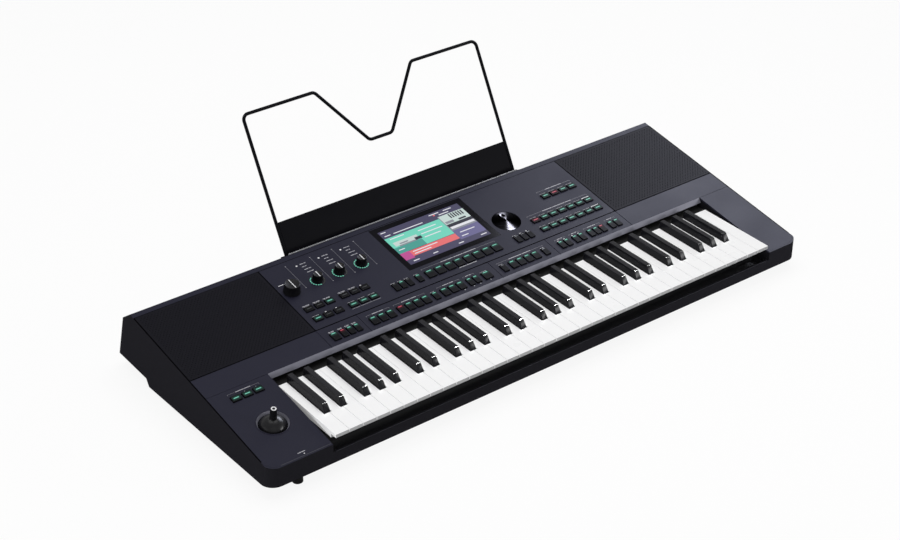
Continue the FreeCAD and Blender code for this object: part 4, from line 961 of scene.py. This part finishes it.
def punched_sheet(node):
    """A sheet with rows of holes in place of a grille, and cloth behind it."""
    low, high = plate_box(node)
    outline = [(low.x, low.y), (high.x, low.y), (high.x, high.y), (low.x, high.y)]
    points = [Vector(corner) for corner in outline]
    edges = [(index, (index + 1) % len(outline)) for index in range(len(outline))]
    rows = int((high.y - low.y - 2 * GRILLE_MARGIN) / HOLE_ROW_STEP)
    columns = int((high.x - low.x - 2 * GRILLE_MARGIN) / HOLE_PITCH)
    start = (low.x + high.x - HOLE_PITCH * columns) / 2
    for row in range(rows + 1):
        v = (low.y + high.y) / 2 + HOLE_ROW_STEP * (row - rows / 2)
        for column in range(columns + 1 - row % 2):
            u = start + HOLE_PITCH * (column + 0.5 * (row % 2))
            first = len(points)
            for side in range(HOLE_SIDES):
                angle = 2 * math.pi * (side + 0.5) / HOLE_SIDES
                points.append(Vector((u + HOLE_RADIUS * math.cos(angle), v + HOLE_RADIUS * math.sin(angle))))
                edges.append((first + side, first + (side + 1) % HOLE_SIDES))
    flat, _, triangles = delaunay_2d_cdt(points, edges, [], TRIANGLES_INSIDE, SAME_POINT)[:3]
    mesh = bmesh.new()
    upper = [mesh.verts.new((*point, high.z)) for point in flat]
    lower = [mesh.verts.new((*point, high.z - SHEET_THICKNESS)) for point in flat]
    for triangle in triangles:
        holes = {(index - len(outline)) // HOLE_SIDES for index in triangle}
        # a triangle between the corners of one hole would close it
        if len(holes) == 1:
            continue
        mesh.faces.new([upper[index] for index in triangle])
        mesh.faces.new([lower[index] for index in reversed(triangle)])
    mesh.verts.index_update()
    open_edges = [edge for edge in mesh.edges if edge.is_boundary and edge.verts[0].index < len(upper)]
    for edge in open_edges:
        first, second = (vert.index for vert in edge.verts)
        mesh.faces.new((upper[first], upper[second], lower[second], lower[first]))
    sheet = piece(f"{node}_sheet", mesh, "case", [grille_metal])
    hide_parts(node)
    mesh = bmesh.new()
    add_box(mesh, low, (high.x, high.y, high.z - SHEET_THICKNESS - CLOTH_GAP))
    piece(f"{node}_cloth", mesh, "case", [speaker_cloth])


# Knobs with their lines and lights

KNOB_FLUTES = 36
SIDES_PER_FLUTE = 6
KNOB_FLUTE_DEPTH = 0.35 * MM
KNOB_EDGE = 0.7 * MM
KNOB_DISH = 0.35 * MM
LINE_WIDTH = 1.3 * MM
KNOB_LINE_SHARE = 0.94


def knob(node, joint):
    """A fluted knob with a white line across its top."""
    low, high = plate_box(node)
    centre = joint_spot(joint)
    rim = [point for point in points_of(node) if high.z - point.z < ROW_STEP]
    foot_radius = (high.x - low.x) / 2
    top_radius = max(math.hypot(point.x - centre.x, point.y - centre.y) for point in rim)
    base = low.z - centre.z
    crown = high.z - centre.z
    deep = KNOB_FLUTE_DEPTH
    profile = ((foot_radius - KNOB_EDGE, base, 0), (foot_radius, base + KNOB_EDGE, 0),
               (foot_radius, base + 2 * KNOB_EDGE, deep), (top_radius, crown - 2 * KNOB_EDGE, deep),
               (top_radius, crown - KNOB_EDGE, 0), (top_radius - KNOB_EDGE / 3, crown - KNOB_EDGE / 3, 0),
               (top_radius - KNOB_EDGE, crown, 0), (top_radius - 2 * KNOB_EDGE, crown - KNOB_DISH, 0))
    mesh = bmesh.new()
    add_turned(mesh, profile, KNOB_FLUTES * SIDES_PER_FLUTE, KNOB_FLUTES)
    reach = (top_radius - KNOB_EDGE) * KNOB_LINE_SHARE
    add_box(mesh, (-LINE_WIDTH / 2, -reach, crown - 2 * KNOB_DISH), (LINE_WIDTH / 2, reach, crown), finish=1)
    turned = piece(f"{node}_grip", mesh, node, [knob_plastic, white_ink],
                   joint_place(joint), smooth=True)
    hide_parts(node)


RING_SIDES = 72
RING_INNER_SHARE = 0.74
RING_CLEAR_SHARE = 0.1
RING_SEGMENTS = 18
RING_GAP_SHARE = 0.35
RING_LIT, RING_UNLIT = 1, 2
RING_LIT_SPANS = ((110, 285), (110, 285), (95, 335))
RING_EDGE = 0.6 * MM
RING_STAND = 0.1 * MM


def knob_rings():
    """A dark ring with a row of lights around each assign knob. The spans are degrees."""
    low, high = plate_box("led_rings")
    knob_low, knob_high = plate_box("assign_knob_1")
    mesh = bmesh.new()
    outer = (high.y - low.y) / 2
    beside_knob = outer - (knob_high.x - knob_low.x) / 2
    inner = outer * RING_INNER_SHARE + beside_knob * RING_CLEAR_SHARE
    for centre, span in zip(assign_spots(), RING_LIT_SPANS):
        base = ((inner, low.z, 0), (outer, low.z, 0), (outer, high.z, 0), (inner, high.z, 0))
        add_turned(mesh, base, RING_SIDES, closed=True, centre=centre)
        for index in range(RING_SEGMENTS):
            start = 360 * index / RING_SEGMENTS
            end = start + 360 / RING_SEGMENTS * (1 - RING_GAP_SHARE)
            finish = RING_LIT if span[0] <= (start + end) / 2 <= span[1] else RING_UNLIT
            add_arc(mesh, centre, radii=(inner + RING_EDGE, outer - RING_EDGE),
                    angles=(math.radians(start), math.radians(end)),
                    heights=(high.z - PRINT_SINK, high.z + RING_STAND), finish=finish)
    rings = piece("knob_light_rings", mesh, "case", [knob_plastic, green_light, dark_light])
    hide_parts("led_rings")


DIAL_SIDES = 160
DIAL_EDGE = 0.8 * MM
DIAL_ROUND_SHARE = 0.3
DIAL_RIM = 2.2 * MM
DIAL_DOME = 1.5 * MM
DIAL_DOME_STEPS = 36
DIMPLE_OFFSET = 13.5 * MM
DIMPLE_RADIUS = 6.5 * MM
DIMPLE_DEPTH = 1.6 * MM


def dial():
    """The dial's wheel: a low dome with a finger dimple."""
    low, high = plate_box("data_dial")
    centre = joint_spot("dial_turn")
    radius = (high.x - low.x) / 2
    base = low.z - centre.z
    crown = high.z - centre.z
    shoulder = crown - DIAL_DOME
    face = radius - DIAL_EDGE - DIAL_RIM
    profile = [(radius - DIAL_EDGE, base, 0), (radius, base + DIAL_EDGE, 0),
               (radius, shoulder - 2 * DIAL_EDGE, 0),
               (radius - DIAL_EDGE * DIAL_ROUND_SHARE, shoulder - DIAL_EDGE, 0),
               (radius - DIAL_EDGE, shoulder - DIAL_EDGE / 2, 0)]
    for step in range(DIAL_DOME_STEPS):
        share = 1 - step / DIAL_DOME_STEPS
        profile.append((face * share, crown - DIAL_DOME * share * share, 0))
    mesh = bmesh.new()
    add_turned(mesh, profile, DIAL_SIDES)
    for vert in mesh.verts:
        away = math.hypot(vert.co.x, vert.co.y - DIMPLE_OFFSET) / DIMPLE_RADIUS
        if away < 1 and vert.co.z > crown - 2 * DIAL_DOME:
            vert.co.z -= DIMPLE_DEPTH * (1 - away * away) ** 2
    turned = piece("data_dial_wheel", mesh, "data_dial", [dial_gloss],
                   joint_place("dial_turn"), smooth=True)
    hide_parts("data_dial")
    return turned


# Painted highlights along edges, painted shade in the seams, and small trims

EDGE_LINE = (0.4 * MM, 1.2 * MM)
RAIL_END = 12 * MM
CORNER_ROOM = 20 * MM


def edge_lines():
    """Painted highlights: thin lighter strips along the front rail's top edge and the front of the left
    cheek, for the light those edges catch.
    """
    case_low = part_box("bottom_case")[0]
    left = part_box("white_keys_1")[0][0]
    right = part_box("top_white_key")[1][0]
    middle = (left + right) / 2
    front = [vert.co for vert in NODES["bottom_case"].data.vertices if vert.co.y - case_low[1] < WELD]
    level = min(place.z for place in front if abs(place.x - middle) < (right - left) / 2 + RAIL_END)
    near, far = (case_low[1] + step for step in EDGE_LINE)
    mesh = bmesh.new()
    add_box(mesh, (left, near, level - PRINT_SINK), (right, far, level + PRINT_HEIGHT))
    piece("rail_painted_highlight", mesh, "case", [painted_edge_highlight], Matrix.Identity(4))
    low, high = plate_box("left_cheek")
    mesh = bmesh.new()
    near, far = (low.y + step for step in EDGE_LINE)
    patch(mesh, low.x + CORNER_ROOM, high.x - EDGE_LINE[1], near, far)
    piece("cheek_painted_highlight", mesh, "case", [painted_edge_highlight])


SEAM = 0.9 * MM


def seams():
    """Painted shade: dark lines where the plates of the sloping top meet, SEAM wide to each side, at the rear
    to one.
    """
    panel_low, panel_high = plate_box("control_panel")
    deck_low, deck_high = plate_box("top_deck")
    mesh = bmesh.new()
    row = (panel_low.y + deck_high.y) / 2
    patch(mesh, deck_low.x, deck_high.x, row - SEAM, row + SEAM)
    patch(mesh, deck_low.x, deck_high.x, panel_high.y, panel_high.y + SEAM)
    front = plate_box("left_cheek")[0].y + CORNER_ROOM
    for side in (deck_low.x, deck_high.x):
        patch(mesh, side - SEAM, side + SEAM, front, panel_high.y)
    for grille, edge in (("left_grille", 1), ("right_grille", 0)):
        beside = (plate_box(grille)[edge].x + (panel_low, panel_high)[1 - edge].x) / 2
        patch(mesh, beside - SEAM, beside + SEAM, row + SEAM, panel_high.y)
    piece("panel_painted_seam_shade", mesh, "case", [painted_seam_shade])


TIP_RING = (2.3 * MM, 4.0 * MM)
TIP_STAND = 0.15 * MM
TIP_SIDES = 40


def joystick_ring():
    """A white ring on the tip of the stick."""
    high = plate_box("joystick_stick")[1]
    centre = joint_spot("joystick_sideways")
    mesh = bmesh.new()
    inner, outer = TIP_RING
    profile = ((inner, high.z - PRINT_SINK, 0), (outer, high.z - PRINT_SINK, 0),
               (outer, high.z + TIP_STAND, 0), (inner, high.z + TIP_STAND, 0))
    add_turned(mesh, profile, TIP_SIDES, closed=True, centre=centre)
    piece("joystick_tip_ring", mesh, "joystick_stick", [white_ink], smooth=True)


LEDGE_RADIUS = 1.5 * MM
LEDGE_GROOVE = 0.5 * MM
LEDGE_RIB = 4 * MM
LEDGE_OVERHANG = 3.8 * MM
LEDGE_FRONT = 2 * MM
LEDGE_SIDES = 16
RIB_SHAPE = ((0, LEDGE_GROOVE), (0.25, 0), (0.75, 0))


def stand_ledge():
    """A ribbed rod along the front edge of the stand's plate."""
    corner_low, corner_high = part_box("stand_plate")
    plate = NODES["stand_plate"].data
    front = [vert.co for vert in plate.vertices if vert.co.y - corner_low[1] < LEDGE_FRONT]
    middle = sum(front, Vector()) / len(front)
    length = corner_high[0] - corner_low[0] + 2 * LEDGE_OVERHANG
    ribs = round(length / LEDGE_RIB)
    profile = []
    for rib in range(ribs):
        start = length * (rib / ribs - 0.5)
        for share, depth in RIB_SHAPE:
            profile.append((LEDGE_RADIUS - depth, start + length * share / ribs, 0))
    mesh = bmesh.new()
    add_turned(mesh, profile, LEDGE_SIDES)
    place = Matrix.Translation((0, middle.y, middle.z)) @ Matrix.Rotation(math.pi / 2, 4, "Y")
    piece("stand_ledge_trim", mesh, "music_stand", [ledge_metal], place, smooth=True)


# Camera, light and stage

CAMERA_PLACE = Vector((-1.5559, -2.0268, 1.6511))
CAMERA_AZIMUTH = math.radians(-37.286)
CAMERA_ELEVATION = math.radians(31.911)
CAMERA_ROLL = math.radians(0.22)
CAMERA_LENS = 75.74
SENSOR = 36.0


def camera():
    data = bpy.data.cameras.new("photo_camera")
    data.lens = CAMERA_LENS
    data.sensor_width = SENSOR
    thing = add_object("photo_camera", data)
    turn = Matrix.Rotation(CAMERA_AZIMUTH, 4, "Z")
    tilt = Matrix.Rotation(math.pi / 2 - CAMERA_ELEVATION, 4, "X")
    roll = Matrix.Rotation(CAMERA_ROLL, 4, "Z")
    thing.matrix_world = Matrix.Translation(CAMERA_PLACE) @ turn @ tilt @ roll
    bpy.context.scene.camera = thing


def area_light(name, place, target, size, power, gloss_only=False, colour=(1, 1, 1)):
    data = bpy.data.lights.new(name, "AREA")
    data.shape = "RECTANGLE"
    data.size, data.size_y = size
    data.energy = power
    data.color = colour
    thing = add_object(name, data)
    thing.location = place
    thing.rotation_euler = (Vector(target) - Vector(place)).to_track_quat("-Z", "Y").to_euler()
    thing.visible_diffuse = not gloss_only
    return thing


def link_light(lamp, things, state):
    """The lamp reaches only these things, or all but these."""
    group = bpy.data.collections.new(f"{lamp.name}_group")
    for thing in things:
        group.objects.link(thing)
    for member in group.collection_objects:
        member.light_linking.link_state = state
    lamp.light_linking.receiver_collection = group


def lights(wheel):
    """Soft lamps, a sheen that misses the keys, and glints for the black keys and the dial alone."""
    area_light("top_soft", place=(0.1, 0.2, 2.5), target=(0, 0, 0), size=(2.4, 2), power=46)
    area_light("front_fill", place=(-1.2, -2.4, 1.6), target=(0, 0, 0.05), size=(2, 1.4), power=3.5)
    area_light("left_fill", place=(-2.4, 0, 0.2), target=(-0.5, 0, 0.07), size=(1.2, 0.3), power=20)
    right = area_light("right_fill", place=(1.7, -2.2, 0.4), target=(0.4, -0.25, 0.04), size=(1.2, 0.5),
                       power=34)
    sheen = area_light("right_sheen", place=(1.9, 0.62, 1.3), target=(0.45, -0.05, 0.1), size=(1.4, 1),
                       power=72, gloss_only=True, colour=(0.84, 0.87, 1))
    edge = area_light("edge_glint", place=(1.05, -0.55, 1.95), target=(-0.1, -0.2, 0.09), size=(0.15, 0.8),
                      power=2600, gloss_only=True)
    wedge = area_light("dial_glint", place=(1, -0.12, 2.05), target=(0.12, 0.03, 0.1), size=(0.6, 0.6),
                       power=3600, gloss_only=True)
    black_keys = [NODES[node] for node in BLACK_KEYS]
    white_keys = [NODES[node] for node in WHITE_KEYS]
    link_light(right, white_keys, "EXCLUDE")
    link_light(sheen, black_keys + white_keys, "EXCLUDE")
    link_light(edge, black_keys, "INCLUDE")
    link_light(wedge, [wheel], "INCLUDE")


def seen_or_mirrored(tree):
    """One for rays from the camera, a reflection or a glass, zero for the light's own bounces."""
    path = tree.nodes.new("ShaderNodeLightPath")
    seen = path.outputs["Is Camera Ray"]
    for ray in ("Is Glossy Ray", "Is Transmission Ray"):
        either = tree.nodes.new("ShaderNodeMath")
        either.operation = "MAXIMUM"
        tree.links.new(seen, either.inputs[0])
        tree.links.new(path.outputs[ray], either.inputs[1])
        seen = either.outputs[0]
    return seen


def show_mixed(tree, output, factor, plain, white):
    """The output shows the plain shader at a factor of zero and the white one at one."""
    mix = tree.nodes.new("ShaderNodeMixShader")
    tree.links.new(factor, mix.inputs["Fac"])
    tree.links.new(plain.outputs[0], mix.inputs[1])
    tree.links.new(white.outputs[0], mix.inputs[2])
    tree.links.new(mix.outputs[0], tree.nodes[output].inputs["Surface"])


WORLD_LIGHT = 0.28
FLOOR_WHITE_SHARE = 0.9
FLOOR_COLOUR = (0.9, 0.9, 0.9)
FLOOR_SIDE = 60.0


def world():
    scene_world = bpy.data.worlds.new("studio")
    bpy.context.scene.world = scene_world
    scene_world.use_nodes = True
    tree = scene_world.node_tree
    soft = tree.nodes["Background"]
    set_inputs(soft, {"Color": (1, 1, 1, 1), "Strength": WORLD_LIGHT})
    white = tree.nodes.new("ShaderNodeBackground")
    set_inputs(white, {"Color": (1, 1, 1, 1), "Strength": 1})
    show_mixed(tree, "World Output", seen_or_mirrored(tree), soft, white)


def floor():
    data = bpy.data.meshes.new("floor")
    half = FLOOR_SIDE / 2
    corners = [(-half, -half, 0), (half, -half, 0), (half, half, 0), (-half, half, 0)]
    data.from_pydata(corners, [], [(0, 1, 2, 3)])
    thing = add_object("floor", data)
    material = shader_of("floor_paper", FLOOR_COLOUR, roughness=0.9, specular=0.0)
    tree = material.node_tree
    glow = tree.nodes.new("ShaderNodeEmission")
    set_inputs(glow, {"Color": (1, 1, 1, 1)})
    share = tree.nodes.new("ShaderNodeMath")
    share.operation = "MULTIPLY"
    set_inputs(share, {1: FLOOR_WHITE_SHARE})
    tree.links.new(seen_or_mirrored(tree), share.inputs[0])
    show_mixed(tree, "Material Output", share.outputs[0], main_shader(material), glow)
    data.materials.append(material)


bpy.context.scene.view_settings.view_transform = "Standard"
dress_nodes()
case_rims()
deck_lip()
joystick_bowl()
key_fronts()
for group, group_states in LIGHT_STATES.items():
    button_lights(group, group_states)
control_panel_print()
top_deck_print()
left_cheek_print()
screen_picture()
for grille in ("left_grille", "right_grille"):
    punched_sheet(grille)
knob("volume_knob", "volume_turn")
for number in (1, 2, 3):
    knob(f"assign_knob_{number}", f"assign_{number}_turn")
knob_rings()
wheel = dial()
edge_lines()
seams()
joystick_ring()
stand_ledge()
camera()
lights(wheel)
world()
floor()
